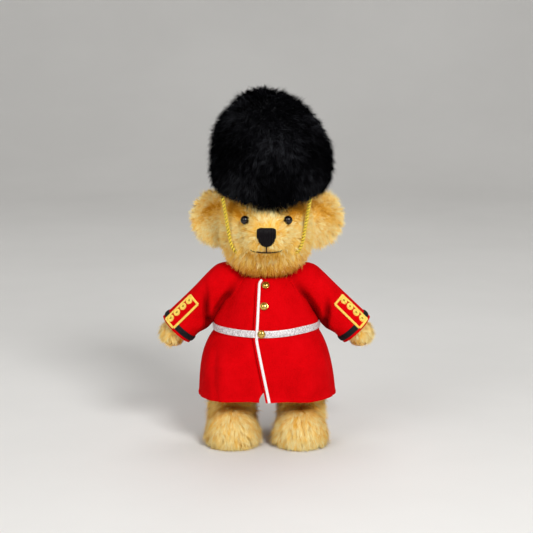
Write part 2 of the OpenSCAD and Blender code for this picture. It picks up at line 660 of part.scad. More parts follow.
torso_plush();
torso_stuffing();
torso_discs();
torso_washers();
coat_back();
coat_front_left();
coat_front_right();
collar();
coat_piping();
belt();
buttons();
skirt_back();
skirt_left();
skirt_right();
skirt_piping();
head_plush();
head_stuffing();
ear_left();
ear_right();
eye_left();
eye_right();
nose();
mouth();
hat_plush();
hat_stuffing();
hat_lining();
chin_cord();
head_disc();
head_washer();
neck_pin();
arm_left_plush();
arm_left_stuffing();
paw_pad_left();
sleeve_left();
cuff_band_left();
cuff_patch_left();
arm_disc_left();
arm_washer_left();
arm_pin_left();
arm_right_plush();
arm_right_stuffing();
paw_pad_right();
sleeve_right();
cuff_band_right();
cuff_patch_right();
arm_disc_right();
arm_washer_right();
arm_pin_right();
leg_left_plush();
leg_left_stuffing();
foot_pad_left();
leg_disc_left();
leg_washer_left();
leg_pin_left();
leg_right_plush();
leg_right_stuffing();
foot_pad_right();
leg_disc_right();
leg_washer_right();
leg_pin_right();
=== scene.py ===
import bpy
import bmesh
import math
import numpy as np
from contextlib import contextmanager
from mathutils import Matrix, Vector, kdtree


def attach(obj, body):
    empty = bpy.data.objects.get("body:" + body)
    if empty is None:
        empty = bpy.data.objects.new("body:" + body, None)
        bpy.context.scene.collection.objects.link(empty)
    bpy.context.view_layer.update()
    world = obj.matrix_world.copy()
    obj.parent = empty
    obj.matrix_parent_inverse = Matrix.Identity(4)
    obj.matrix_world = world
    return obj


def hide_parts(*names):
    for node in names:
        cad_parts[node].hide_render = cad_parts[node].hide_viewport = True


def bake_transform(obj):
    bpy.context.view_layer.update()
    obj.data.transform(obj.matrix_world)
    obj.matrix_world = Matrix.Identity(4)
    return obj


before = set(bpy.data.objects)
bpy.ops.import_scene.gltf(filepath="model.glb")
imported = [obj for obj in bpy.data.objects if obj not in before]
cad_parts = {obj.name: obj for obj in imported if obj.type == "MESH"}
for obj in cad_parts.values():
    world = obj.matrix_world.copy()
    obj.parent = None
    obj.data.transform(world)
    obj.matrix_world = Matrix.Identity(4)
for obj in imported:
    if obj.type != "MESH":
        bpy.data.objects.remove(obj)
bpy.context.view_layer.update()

# Lengths below are millimetres, in the frame of the CAD model
MM = 0.001
PI, TAU = math.pi, math.tau
SIN, COS, RAD = math.sin, math.cos, math.radians
SIDES = ((1, "left"), (-1, "right"))

# Sizes repeated from the part's source
TORSO_R, TORSO_Z, TORSO_LOW, TORSO_TOP, NECK_R = 30.5, 80.0, 37.0, 46.0, 17.2
NECK_Z = TORSO_Z + TORSO_TOP * math.sqrt(1 - (NECK_R / TORSO_R) ** 2)
HEAD_Z = NECK_Z + 36.5
HEAD_R, MUZZLE_R, MUZZLE_Y = 31.5, 15.0, 25.0
EYE_X, EYE_UP = 14.4, 9.1
HAT_Z, HAT_BACK, HAT_TILT = HEAD_Z + 28.5, 1.5, RAD(8)
HIP_X, HIP_Z, POCKET_R = 18.5, 61.0, 21.5
WAIST_Z, HEM_Z = 80.0, 36.0
COAT_TOP = NECK_Z + 1.8
FELT = 1.5


# Small vector helpers
def vec(*v):
    return np.array(v, float)


def unit(v):
    return v / np.maximum(np.linalg.norm(v, axis=-1, keepdims=True), 1e-9)


def ease(x, a, b):
    """Rises smoothly from 0 at a to 1 at b."""
    t = np.clip((x - a) / (b - a), 0, 1)
    return t * t * (3 - 2 * t)


def hump(x, wide):
    return np.exp(-(x / wide) ** 2)


def spot(u, u0, du, v, v0, dv):
    """A soft spot at u0 and v0: 1 in its middle, fading over du and dv."""
    return np.exp(-((u - u0) / du) ** 2 - ((v - v0) / dv) ** 2)


def tree_of(pts, keys):
    tree = kdtree.KDTree(len(keys))
    for k in keys:
        tree.insert(pts[k], int(k))
    tree.balance()
    return tree


def dist_to_line(p, path):
    """Distance of each point from the nearest point of a path."""
    tree = tree_of(path, range(len(path)))
    return np.array([tree.find(q)[2] for q in p])


def travel(path):
    """Distance along a path at each of its points."""
    return np.concatenate([[0], np.cumsum(np.linalg.norm(np.diff(path, axis=0), axis=1))])


def place(name, data):
    ob = bpy.data.objects.new(name, data)
    bpy.context.scene.collection.objects.link(ob)
    return ob


# Camera at the photograph's height and angle
AIM = Vector((0, 0, 0.126))
CAM_ELEVATION, CAM_DISTANCE, CAM_LENS = RAD(10.5), 1.25, 118.9
cam = place("camera", bpy.data.cameras.new("camera"))
cam.data.lens = CAM_LENS
cam.data.clip_start = 0.05
cam.location = AIM + CAM_DISTANCE * Vector((0, -COS(CAM_ELEVATION), SIN(CAM_ELEVATION)))
cam.rotation_euler = (PI / 2 - CAM_ELEVATION, 0, 0)
bpy.context.scene.camera = cam
bpy.context.scene.view_settings.view_transform = "Standard"


# Materials
def set_inputs(nt, n, values):
    """Set a shader node's inputs: a socket is linked, and anything else is a value."""
    for key, v in values.items():
        if isinstance(v, bpy.types.NodeSocket):
            nt.links.new(v, n.inputs[key])
        else:
            n.inputs[key].default_value = v


def shader(nt, kind, values=None, **settings):
    """The outputs of a new shader node."""
    n = nt.nodes.new("ShaderNode" + kind)
    for key, v in settings.items():
        setattr(n, key, v)
    set_inputs(nt, n, values or {})
    return n.outputs


def new_material(name, rough, spec=0.3, metal=0.0, sheen=0.0, sheen_rough=0.5, sheen_tint=(1, 1, 1)):
    m = bpy.data.materials.new(name)
    m.use_nodes = True
    nt = m.node_tree
    b = nt.nodes["Principled BSDF"]
    set_inputs(nt, b, {"Roughness": rough, "Specular IOR Level": spec, "Metallic": metal, "Sheen Weight": sheen,
                       "Sheen Roughness": sheen_rough, "Sheen Tint": (*sheen_tint, 1)})
    return m, nt, b


def ramp(nt, stops, source):
    r = nt.nodes.new("ShaderNodeValToRGB")
    while len(r.color_ramp.elements) < len(stops):
        r.color_ramp.elements.new(0.5)
    for e, (pos, col) in zip(r.color_ramp.elements, stops):
        e.position = pos
        e.color = (*col, 1)
    nt.links.new(source, r.inputs["Fac"])
    return r.outputs["Color"]


def noise(nt, scale, detail=3.0, rough=0.55, stretch=None):
    co = shader(nt, "TexCoord")["Object"]
    if stretch is not None:
        co = shader(nt, "Mapping", {"Scale": stretch, "Vector": co})["Vector"]
    return shader(nt, "TexNoise", {"Scale": scale, "Detail": detail, "Roughness": rough, "Vector": co})["Fac"]


def finish_colour(nt, b, colour, dark, height, strength, depth):
    """Colour and bump of a material. Where a mesh marks painted shade, the colour is darkened toward dark, if dark
    is given.
    """
    if dark:
        painted_shade = shader(nt, "Attribute", attribute_name="painted_shade")["Fac"]
        mix = shader(nt, "Mix", {"Factor": painted_shade, "A": colour, "B": (*dark, 1.0)}, data_type="RGBA")
        colour = mix["Result"]
    relief = shader(nt, "Bump", {"Strength": strength, "Distance": depth, "Height": height})
    set_inputs(nt, b, {"Base Color": colour, "Normal": relief["Normal"]})


CLOTH_ROUGH, FINE_SHARE, BROAD_SHARE = 0.9, 0.6, 0.4


def cloth_material(name, dark, mid, light, sheen=0.3, fuzz=1400, spec=0.15, depth=0.0004, crease_shade=None):
    """Felt or plush backing: matted fibre in two sizes. Folds can be darkened with painted shade."""
    m, nt, b = new_material(name, CLOTH_ROUGH, spec, sheen=sheen)
    fine, broad = noise(nt, fuzz, 4, 0.65), noise(nt, 90, 2)
    part = shader(nt, "Math", {0: broad, 1: BROAD_SHARE}, operation="MULTIPLY")[0]
    mix = shader(nt, "Math", {0: fine, 1: FINE_SHARE, 2: part}, operation="MULTIPLY_ADD")[0]
    colour = ramp(nt, [(0.32, dark), (0.5, mid), (0.68, light)], mix)
    finish_colour(nt, b, colour, crease_shade, fine, 0.5, depth)
    return m


def grain_material(name, dark, light, scale, rough, spec=0.3, metal=0.0, stretch=None, depth=0.0001, sheen=0.0,
                   lo=0.35, hi=0.65, groove_shade=None):
    """A solid material with grain: two colours mixed by noise, which also makes its bump. Where a mesh marks
    painted shade, the colour is darkened, if a shade colour is given.
    """
    m, nt, b = new_material(name, rough, spec, metal, sheen)
    n = noise(nt, scale, 4, 0.6, stretch)
    finish_colour(nt, b, ramp(nt, [(lo, dark), (hi, light)], n), groove_shade, n, 0.35, depth)
    return m


def fur_material(name, deep, mid, pale, root, rough, spec, sheen, sheen_tint=(1, 1, 1)):
    """Pile: the first texture coordinate is a strand's tone, the second runs from root to tip."""
    m, nt, b = new_material(name, rough, spec, sheen=sheen, sheen_rough=0.4, sheen_tint=sheen_tint)
    uv = shader(nt, "UVMap", uv_map="OFBake")["UV"]
    part = shader(nt, "SeparateXYZ", {"Vector": uv})
    tip = ramp(nt, [(0.0, deep), (0.45, mid), (1.0, pale)], part["X"])
    shade = ramp(nt, [(0.0, root), (0.7, (1, 1, 1))], part["Y"])
    mix = shader(nt, "Mix", {"Factor": 1.0, "A": tip, "B": shade}, data_type="RGBA", blend_type="MULTIPLY")
    set_inputs(nt, b, {"Base Color": mix["Result"]})
    return m


GOLD_FUR = fur_material("gold_mohair", (0.66, 0.26, 0.01), (1.0, 0.62, 0.10), (1.0, 0.885, 0.46),
                        (0.92, 0.74, 0.42), rough=0.75, spec=0.04, sheen=0.3, sheen_tint=(1.0, 0.80, 0.36))
# The black fur's pale tone is painted sheen
HAT_FUR = fur_material("black_fur", (0.0012, 0.0012, 0.0015), (0.004, 0.004, 0.0048), (0.026, 0.027, 0.031),
                       (0.4, 0.4, 0.4), rough=0.6, spec=0.0, sheen=0.0)
GOLD_SKIN = cloth_material("plush_backing", (0.72, 0.40, 0.05), (0.90, 0.56, 0.12), (0.96, 0.66, 0.20),
                           depth=0.0006)
HAT_SKIN = cloth_material("black_backing", (0.004, 0.004, 0.005), (0.008, 0.008, 0.009), (0.012, 0.012, 0.014),
                          sheen=0.0)
# Its dark colour for folds is painted shade, for the sleeves' folds and armhole seams
RED_FELT = cloth_material("red_felt", (0.46, 0.0, 0.001), (0.60, 0.0, 0.002), (0.67, 0.001, 0.004), sheen=0.0,
                          spec=0.04, depth=0.0003, crease_shade=(0.17, 0.0, 0.0005))
TAN_FELT = cloth_material("tan_felt", (0.40, 0.20, 0.06), (0.52, 0.29, 0.10), (0.60, 0.36, 0.15))
STUFFING = cloth_material("stuffing", (0.70, 0.68, 0.62), (0.80, 0.78, 0.72), (0.88, 0.87, 0.82), fuzz=600)
BLACK_RIBBON = grain_material("black_ribbon", (0.004, 0.004, 0.005), (0.012, 0.012, 0.015), scale=1600, rough=0.7,
                              spec=0.15, stretch=(1, 1, 0.4))
BLACK_THREAD = grain_material("black_thread", (0.003, 0.002, 0.003), (0.010, 0.008, 0.009), scale=2600, rough=0.34,
                              spec=0.1)
YELLOW_THREAD = grain_material("yellow_thread", (0.86, 0.54, 0.04), (1.0, 0.80, 0.17), scale=1500, rough=0.45,
                               spec=0.4, sheen=0.2)
OLIVE_THREAD = grain_material("olive_thread", (0.28, 0.18, 0.01), (0.50, 0.36, 0.04), scale=1500, rough=0.5,
                              spec=0.2)
# Its dark colour for the cord's hollows is painted shade between the plies
GOLD_CORD = grain_material("gold_cord", (0.62, 0.41, 0.01), (0.96, 0.75, 0.10), scale=1300, rough=0.38,
                           groove_shade=(0.16, 0.08, 0.002))
WHITE_SATIN = grain_material("white_satin", (0.74, 0.70, 0.70), (0.92, 0.90, 0.89), scale=1500, rough=0.5,
                             spec=0.35, sheen=0.2)
# The pink cast of these colours is painted reflection of the red felt
SILVER_RIBBON = grain_material("silver_ribbon", (0.38, 0.32, 0.33), (0.86, 0.83, 0.83), scale=1300, rough=0.42,
                               spec=0.4, metal=0.15, depth=0.0003, lo=0.38, hi=0.6)
BRASS = grain_material("brass", (0.55, 0.36, 0.06), (0.80, 0.58, 0.16), scale=500, rough=0.2, spec=0.5, metal=1.0,
                       depth=0.00002)
GLASS = grain_material("black_glass", (0.004, 0.003, 0.003), (0.009, 0.007, 0.006), scale=220, rough=0.03,
                       spec=0.42, depth=0.000002)
BOARD = grain_material("disc_board", (0.36, 0.22, 0.11), (0.55, 0.38, 0.21), scale=500, rough=0.8,
                       stretch=(1, 1, 4))
STEEL = grain_material("steel_wire", (0.42, 0.42, 0.44), (0.62, 0.62, 0.64), scale=700, rough=0.35, spec=0.5,
                       metal=1.0, depth=0.00002)
FLOOR = grain_material("floor", (0.76, 0.75, 0.73), (0.80, 0.79, 0.77), scale=3, rough=0.7, spec=0.2, depth=0.0)


# Meshes
def link(me, mat, body=None):
    """A piece of the scene, named as its mesh."""
    ob = place(me.name, me)
    me.materials.append(mat)
    if body:
        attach(ob, body)
    return ob


def smooth_shaded(me):
    me.polygons.foreach_set("use_smooth", np.ones(len(me.polygons), bool))
    return me


def mesh_from(name, pts, faces, sharp=None):
    me = bpy.data.meshes.new(name)
    me.from_pydata([tuple(p) for p in np.asarray(pts) * MM], [], [tuple(int(i) for i in f) for f in faces])
    me.update()
    smooth_shaded(me)
    if sharp:
        me.set_sharp_from_angle(angle=RAD(sharp))
    return me


@contextmanager
def edited(me, out=None):
    """A mesh open for editing, which is then written back, or into another mesh."""
    bm = bmesh.new()
    bm.from_mesh(me)
    yield bm
    bm.to_mesh(out or me)
    bm.free()
    smooth_shaded(out or me)


def mesh_arrays(me):
    """Points in mm, triangles and point normals of a mesh."""
    n = len(me.vertices)
    co, no = np.empty(n * 3, np.float32), np.empty(n * 3, np.float32)
    me.vertices.foreach_get("co", co)
    me.vertices.foreach_get("normal", no)
    me.calc_loop_triangles()
    tri = np.empty(len(me.loop_triangles) * 3, np.int32)
    me.loop_triangles.foreach_get("vertices", tri)
    return co.reshape(-1, 3).astype(float) / MM, tri.reshape(-1, 3), no.reshape(-1, 3).astype(float)


def moved(me, pts):
    me.vertices.foreach_set("co", (np.asarray(pts) * MM).astype(np.float32).ravel())
    me.update()


# A mesh's painted shade: how far each point is darkened
def mark_painted_shade(me, amount):
    values = np.clip(amount, 0, 1).astype(np.float32)
    me.attributes.new("painted_shade", "FLOAT", "POINT").data.foreach_set("value", values)


def mirror_x(me, name):
    """A mirrored copy of a mesh."""
    out = bpy.data.meshes.new(name)
    with edited(me, out) as bm:
        for v in bm.verts:
            v.co.x = -v.co.x
        bmesh.ops.reverse_faces(bm, faces=bm.faces)
    return out


def on_side(me, side):
    """A mesh of the left side, or its mirrored copy for the right."""
    return me if side > 0 else mirror_x(me, me.name.replace("left", "right"))


def grid_quads(nu, nv, wrap_v=False):
    idx = np.arange(nu * nv).reshape(nu, nv)
    if wrap_v:
        idx = np.hstack([idx, idx[:, :1]])
    return np.stack([idx[:-1, :-1], idx[1:, :-1], idx[1:, 1:], idx[:-1, 1:]], -1).reshape(-1, 4)


class Soup:
    """Points and faces gathered into one mesh."""

    def __init__(self):
        self.pts, self.faces, self.n = [], [], 0

    def add(self, pts, faces):
        pts = np.asarray(pts, float).reshape(-1, 3)
        self.pts.append(pts)
        self.faces += [tuple(int(i) + self.n for i in f) for f in faces]
        self.n += len(pts)

    def mesh(self, name, sharp=None):
        return mesh_from(name, np.vstack(self.pts), self.faces, sharp)

    def rings(self, rows, end0, end1, flip):
        """Rings of points joined along a path and closed with a point at each end."""
        n, k = np.shape(rows)[:2]
        first, last = n * k, (n - 1) * k
        ring = [(i, (i + 1) % k) for i in range(k)]
        faces = [tuple(q[::-1]) for q in grid_quads(n, k, wrap_v=True)]
        faces += [(first, j, i) if flip else (first, i, j) for i, j in ring]
        faces += [(first + 1, last + i, last + j) if flip else (first + 1, last + j, last + i) for i, j in ring]
        self.add(np.vstack([np.reshape(rows, (-1, 3)), end0, end1]), faces)

    def tube(self, path, r, sides=8):
        """A round thread along a path, with rounded ends. r is a number or one radius for each point."""
        path = np.asarray(path, float)
        n = len(path)
        r = np.broadcast_to(np.asarray(r, float), (n,))
        t = unit(np.gradient(path, axis=0))
        side = unit(np.cross(vec(0, 0, 1) if abs(t[0][2]) < 0.9 else vec(0, 1, 0), t[0]))
        a = np.arange(sides) * TAU / sides
        rows = []
        for k in range(n):
            side = unit(side - t[k] * (side @ t[k]))
            other = np.cross(t[k], side)
            rows.append(path[k] + r[k] * (np.cos(a)[:, None] * side + np.sin(a)[:, None] * other))
        self.rings(rows, path[0] - t[0] * r[0] * 0.6, path[-1] + t[-1] * r[-1] * 0.6, False)


def lathe(profile, sides=48):
    """Points and faces of a turned form about Z from a profile of radius and height, closed at the axis."""
    prof = np.asarray(profile, float)
    a = np.arange(sides) * TAU / sides
    pts = np.stack([np.outer(prof[:, 0], np.cos(a)), np.outer(prof[:, 0], np.sin(a)),
                    np.repeat(prof[:, 1:2], sides, 1)], -1)
    return pts.reshape(-1, 3), [tuple(q[::-1]) for q in grid_quads(len(prof), sides, wrap_v=True)]


def dome(r, foot, rise, a0, a1, n):
    """Rows of a profile along an arc of an ellipse of radius r that stands on a height."""
    return [(r * COS(a), foot + rise * SIN(a)) for a in np.linspace(a0, a1, n)]


# Where an arc that closes a turned form stops short of its axis, and the angle that counts as an edge of a sheet
POLE = PI / 2 - 0.01
SHEET_EDGE = 60


def outward(g, inside):
    """Normals of a grid of points that point away from a point inside, its faces, and whether they were turned."""
    n = unit(np.cross(np.gradient(g, axis=0), np.gradient(g, axis=1)))
    q = grid_quads(*g.shape[:2])
    turned = np.sum(n * (g - np.asarray(inside))) < 0
    return (-n, q[:, ::-1], turned) if turned else (n, q, turned)


def sheet_mesh(name, grid, thick, inside):
    """A sheet with thickness and rounded edges from a grid of points on its outer side."""
    g = np.asarray(grid, float)
    n, q, turned = outward(g, inside)
    outer, inner = g.copy(), g - thick * n
    for rows in ((0, slice(None)), (-1, slice(None)), (slice(None), 0), (slice(None), -1)):
        outer[rows] = g[rows] - 0.18 * thick * n[rows]
        inner[rows] = g[rows] - 0.82 * thick * n[rows]
    idx = np.arange(g.size // 3).reshape(g.shape[:2])
    m = idx.size
    faces = [tuple(f) for f in q] + [tuple(f[::-1] + m) for f in q]
    ring = np.concatenate([idx[:-1, 0], idx[-1, :-1], idx[:0:-1, -1], idx[0, :0:-1]])
    for a, b in zip(ring, np.roll(ring, -1)):
        faces.append((b, a, a + m, b + m) if turned else (a, b, b + m, a + m))
    return mesh_from(name, np.vstack([outer.reshape(-1, 3), inner.reshape(-1, 3)]), faces, SHEET_EDGE)


def thicken(bm, thick):
    """Give an open cloth surface its thickness, inward from its outer side."""
    bm.normal_update()
    bmesh.ops.solidify(bm, geom=bm.faces[:], thickness=thick * MM)


def shell_mesh(name, grid, thick, inside, cut):
    """A sheet from a grid of points on its outer side, without the faces that cut says."""
    g = np.asarray(grid, float)
    me = mesh_from(name, g.reshape(-1, 3), outward(g, inside)[1])
    with edited(me) as bm:
        gone = [f for f in bm.faces if cut(np.array(f.calc_center_median()) / MM)]
        bmesh.ops.delete(bm, geom=gone, context="FACES")
        thicken(bm, thick)
    me.set_sharp_from_angle(angle=RAD(SHEET_EDGE))
    return me


def remeshed(name, parts, voxel, smooth_steps=6):
    """One closed mesh round several overlapping closed forms, with soft joins."""
    s = Soup()
    for pts, faces in parts:
        s.add(pts, faces)
    ob = place(name, s.mesh(name + "_parts"))
    r = ob.modifiers.new("remesh", "REMESH")
    r.mode = "VOXEL"
    r.voxel_size = voxel * MM
    sm = ob.modifiers.new("smooth", "SMOOTH")
    sm.iterations = smooth_steps
    sm.factor = 0.5
    me = bpy.data.meshes.new_from_object(ob.evaluated_get(bpy.context.evaluated_depsgraph_get()))
    bpy.data.objects.remove(ob)
    me.name = name
    return smooth_shaded(me)


# Pile: the places along a strand, its half width there, how far its shading follows the skin, how its tone varies,
# and how far strands and whole locks stray from the combed direction
STRAND = np.array([0.0, 0.36, 0.7, 1.0])
STRAND_HALF = np.array([1.0, 0.92, 0.66, 0.14]) * 0.5
SKIN_SHADE, TONE_VARY = 0.8, 0.16
STRAY, LOCK_STRAY = 0.25, 0.4
PILE_DENSITY, PILE_WIDTH = 3.6, 0.32


def fur(name, body, me, seed, pile, keep=None, mat=GOLD_FUR, density=PILE_DENSITY,
        width=PILE_WIDTH, clump=14, pull=0.65, curl=0.12, floor=None):
    """Tapered flat strands on a mesh, gathered into locks. pile gives their length, direction, lift and tone at
    points with normals, and keep the chance that a strand is there."""
    r = np.random.default_rng(seed)
    pts, tri, nor = mesh_arrays(me)
    a, b, c = (pts[tri[:, k]] for k in range(3))
    area = np.linalg.norm(np.cross(b - a, c - a), axis=1) / 2
    count = int(area.sum() * density)
    pick = tri[r.choice(len(tri), count, p=area / area.sum())]
    u, v = r.random(count), r.random(count)
    over = u + v > 1
    u[over], v[over] = 1 - u[over], 1 - v[over]
    w = np.stack([1 - u - v, u, v], 1)[:, :, None]
    p, n = (pts[pick] * w).sum(1), unit((nor[pick] * w).sum(1))
    if keep is not None:
        ok = r.random(count) < keep(p, n)
        p, n = p[ok], n[ok]
        count = len(p)
    length, comb, lift, tone = pile(p, n)
    tree = tree_of(p, r.permutation(count)[: max(1, count // clump)])
    near = np.array([tree.find(x)[1] for x in p])
    d = comb + STRAY * r.normal(size=(count, 3)) + LOCK_STRAY * r.normal(size=(count, 3))[near]
    d = unit(d - n * np.sum(d * n, 1, keepdims=True))
    ln = length * r.uniform(0.75, 1.1, count) * r.uniform(0.8, 1.15, count)[near]
    lf = np.clip(lift + 0.12 * r.normal(size=count), 0.12, 0.97)
    t = STRAND
    rise = (1.3 * t - 0.3 * t ** 2)[None, :] * (ln * lf)[:, None]
    run = (0.45 * t + 0.55 * t ** 2)[None, :] * (ln * np.sqrt(1 - lf ** 2))[:, None]
    q = p[:, None, :] + rise[:, :, None] * n[:, None, :] + run[:, :, None] * d[:, None, :]
    q = q + (pull * t ** 1.1)[None, :, None] * (q[near] - q)
    q = q + (t ** 1.5)[None, :, None] * (curl * ln[:, None] * r.normal(size=(count, 3)))[:, None, :]
    if floor is not None:
        q[:, :, 2] = np.maximum(q[:, :, 2], floor)
    along = unit(np.gradient(q, axis=1))
    side = unit(np.cross(along, unit(n + 0.15 * r.normal(size=(count, 3)))[:, None, :]))
    half = STRAND_HALF[None, :, None] * width
    verts = np.stack([q - side * half, q + side * half], 2).reshape(-1, 3)
    flat = np.cross(side, along)
    flat = flat * np.sign(np.sum(flat * n[:, None, :], 2, keepdims=True) + 1e-9)
    shade = unit(SKIN_SHADE * n[:, None, :] + (1 - SKIN_SHADE) * flat)
    normals = np.repeat(shade[:, :, None, :], 2, 2).reshape(-1, 3)
    m = len(t)
    rung = (2 * np.arange(m - 1))[None, :, None] + np.array([0, 1, 3, 2])[None, None, :]
    faces = ((np.arange(count) * 2 * m)[:, None, None] + rung).reshape(-1, 4).astype(np.int32)
    tn = np.clip(tone + TONE_VARY * (0.6 * r.normal(size=count) + r.normal(size=count)[near]), 0.02, 0.98)
    uv = np.stack([np.repeat(tn, 2 * m), np.tile(np.repeat(np.clip(t, 0.02, 0.98), 2), count)], 1)
    fm = bpy.data.meshes.new(name)
    fm.vertices.add(len(verts))
    fm.vertices.foreach_set("co", (verts * MM).astype(np.float32).ravel())
    fm.loops.add(faces.size)
    fm.loops.foreach_set("vertex_index", faces.ravel())
    fm.polygons.add(len(faces))
    fm.polygons.foreach_set("loop_start", np.arange(0, faces.size, 4, dtype=np.int32))
    fm.update(calc_edges=True)
    fm.uv_layers.new(name="OFBake").data.foreach_set("uv", uv[faces.ravel()].astype(np.float32).ravel())
    smooth_shaded(fm)
    fm.normals_split_custom_set_from_vertices(normals.tolist())
    return link(fm, mat, body)


# Head
HEAD_C = vec(0, 0, HEAD_Z)
NOSE_UP, NOSE_W, NOSE_H, NOSE_SAG = -1.0, 12.2, 12.4, 8.5
NOSE_LOW = NOSE_UP - NOSE_H / 2
MOUTH_UP, MOUTH_HALF = NOSE_LOW - 4.3, 11
NOSE_TIP = vec(0, -40, HEAD_Z + 2)


def face_w(rho):
    """Distance forward of the face at a distance from the axis through skull and muzzle."""
    rho = np.asarray(rho, float)
    a = math.acos(-(HEAD_R - MUZZLE_R) / MUZZLE_Y)
    w0, r0 = -HEAD_R * COS(a), HEAD_R * SIN(a)
    w1, r1 = MUZZLE_Y - MUZZLE_R * COS(a), MUZZLE_R * SIN(a)
    cap = MUZZLE_Y + np.sqrt(np.maximum(MUZZLE_R ** 2 - rho ** 2, 0))
    cone = w1 + (w0 - w1) * (rho - r1) / (r0 - r1)
    ball = np.sqrt(np.maximum(HEAD_R ** 2 - rho ** 2, 0))
    return np.where(rho < r1, cap, np.where(rho < r0, cone, ball))


def face_pt(x, up, out=0.0):
    """A point on the face, lifted off it by out."""
    h = 0.2
    dx = (face_w(math.hypot(x + h, up)) - face_w(math.hypot(x - h, up))) / (2 * h)
    du = (face_w(math.hypot(x, up + h)) - face_w(math.hypot(x, up - h))) / (2 * h)
    return vec(x, -float(face_w(math.hypot(x, up))), HEAD_Z + up) + out * unit(vec(-dx, -1, -du))


def mouth_pt(x, out):
    """A point of the mouth, which rises a little to its corners."""
    return face_pt(x, MOUTH_UP + 0.4 * (x / MOUTH_HALF) ** 2, out)


EYES = [face_pt(s * EYE_X, EYE_UP, 0.8) for s in (1, -1)]
MOUTH = [face_pt(0, u, 0.2) for u in np.linspace(NOSE_LOW, MOUTH_UP, 8)]
MOUTH += [mouth_pt(s * x, 0.2) for s in (1, -1) for x in np.linspace(0, MOUTH_HALF, 16)]
CORD_R, CORD_GAP, CORD_LOW = 1.3, 0.2, RAD(10)


def cord_path():
    """Centre line of the chin cord, from the hat's rim on one side to the other."""
    off = HEAD_R + CORD_R + CORD_GAP
    y = (HEAD_R - MUZZLE_R) / MUZZLE_Y * off - CORD_GAP
    rad = math.sqrt(off ** 2 - y ** 2)
    top = HAT_Z - (y + HAT_BACK) * math.tan(HAT_TILT) - CORD_R - CORD_GAP
    side = vec(rad * COS(CORD_LOW), -y, HEAD_Z - rad * SIN(CORD_LOW))
    rise = (top - side[2]) / COS(CORD_LOW)
    up = [side + vec(SIN(CORD_LOW), 0, COS(CORD_LOW)) * rise * f for f in np.linspace(1, 0, 30)]
    arc = [vec(rad * COS(a), -y, HEAD_Z + rad * SIN(a)) for a in np.linspace(-CORD_LOW, -PI + CORD_LOW, 90)[1:-1]]
    return np.array(up + arc + [p * vec(-1, 1, 1) for p in up[::-1]])


CORD = cord_path()
CORD_SEEN = CORD[CORD[:, 2] > HEAD_Z - 12]

# The skin: skull and muzzle joined softly, with hollows for the eyes and full cheeks
SKIN_IN, JOIN = 0.8, 5.0
EYE_DENT, EYE_DENT_R, CHEEK_FULL = 1.3, 5.0, 2.4
head_me = bpy.data.meshes.new("head_skin")
with edited(head_me) as bm:
    bmesh.ops.create_icosphere(bm, subdivisions=6, radius=1.0)
ico = mesh_arrays(head_me)[0] * MM
skull = HEAD_R - SKIN_IN
fwd = -ico[:, 1] * MUZZLE_Y
disc = fwd ** 2 - MUZZLE_Y ** 2 + (MUZZLE_R - SKIN_IN) ** 2
snout = np.where(disc > 0, fwd + np.sqrt(np.maximum(disc, 0)), 0)
rad = JOIN * np.log(np.exp(skull / JOIN) + np.exp(np.clip(snout, 0, 60) / JOIN)) - 0.9 * hump(snout - skull, 9)
rad = np.where(snout < 1, skull, np.maximum(rad, skull))
head_pts = ico * rad[:, None] + HEAD_C
for e in EYES:
    head_pts -= ico * (EYE_DENT * hump(np.linalg.norm(head_pts - e, axis=1), EYE_DENT_R))[:, None]
x, y, z = head_pts.T
cheek = spot(np.abs(x), 21, 11, z, HEAD_Z - 15, 10)
moved(head_me, head_pts + ico * (CHEEK_FULL * cheek * ease(-y, -18, 2))[:, None])
head_skin = link(head_me, GOLD_SKIN, "head")
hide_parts("head_plush")


def hat_local(p):
    """Points in the hat's own frame, with its rim at height 0."""
    q = p - vec(0, HAT_BACK, HAT_Z)
    c, s = COS(HAT_TILT), SIN(HAT_TILT)
    return np.stack([q[:, 0], q[:, 1] * c + q[:, 2] * s, -q[:, 1] * s + q[:, 2] * c], 1)


def hat_world(p):
    x, y, z = np.moveaxis(np.asarray(p, float), -1, 0)
    c, s = COS(HAT_TILT), SIN(HAT_TILT)
    return np.stack([x, y * c - z * s + HAT_BACK, y * s + z * c + HAT_Z], -1)


def under_hat(p, up, wide):
    h = hat_local(p)
    return (h[:, 2] > up) & (np.hypot(h[:, 0], h[:, 1]) < wide)


def eye_dist(p):
    return np.minimum(*(np.linalg.norm(p - e, axis=1) for e in EYES))


def nose_dist(p):
    """Distance outside the nose's shield, seen from the front, for points on the muzzle."""
    x, z = np.abs(p[:, 0]), p[:, 2] - HEAD_Z - NOSE_UP
    drop = np.clip((z + NOSE_H / 2) / NOSE_SAG, 0, 1)
    wide = NOSE_W / 2 * np.sqrt(1 - (1 - drop) ** 2)
    return np.where(p[:, 1] < -27, np.maximum(x - wide, np.abs(z) - NOSE_H / 2), 99)


def head_keep(p, n):
    bare = (nose_dist(p) > 0.4) * (dist_to_line(p, MOUTH) > 1.7) * (dist_to_line(p, CORD_SEEN) > 2.1)
    neck = (p[:, 2] < HEAD_Z - 26) & (np.hypot(p[:, 0], p[:, 1]) < 12)
    return ease(eye_dist(p), 3.0, 3.8) * bare * ~under_hat(p, 4.0, 36) * ~neck


# Painted shade on the face, above and beside the eyes, beside the top of the nose and under the mouth: depth,
# distance from the middle, width, height, half height, how far forward they start
FACE_SHADE_SPOTS = ((0.95, 20, 8, 14, 5.5, 8), (0.35, 6, 4, 6, 3, 25), (0.22, 0, 11, MOUTH_UP - 2.5, 2.5, 20))


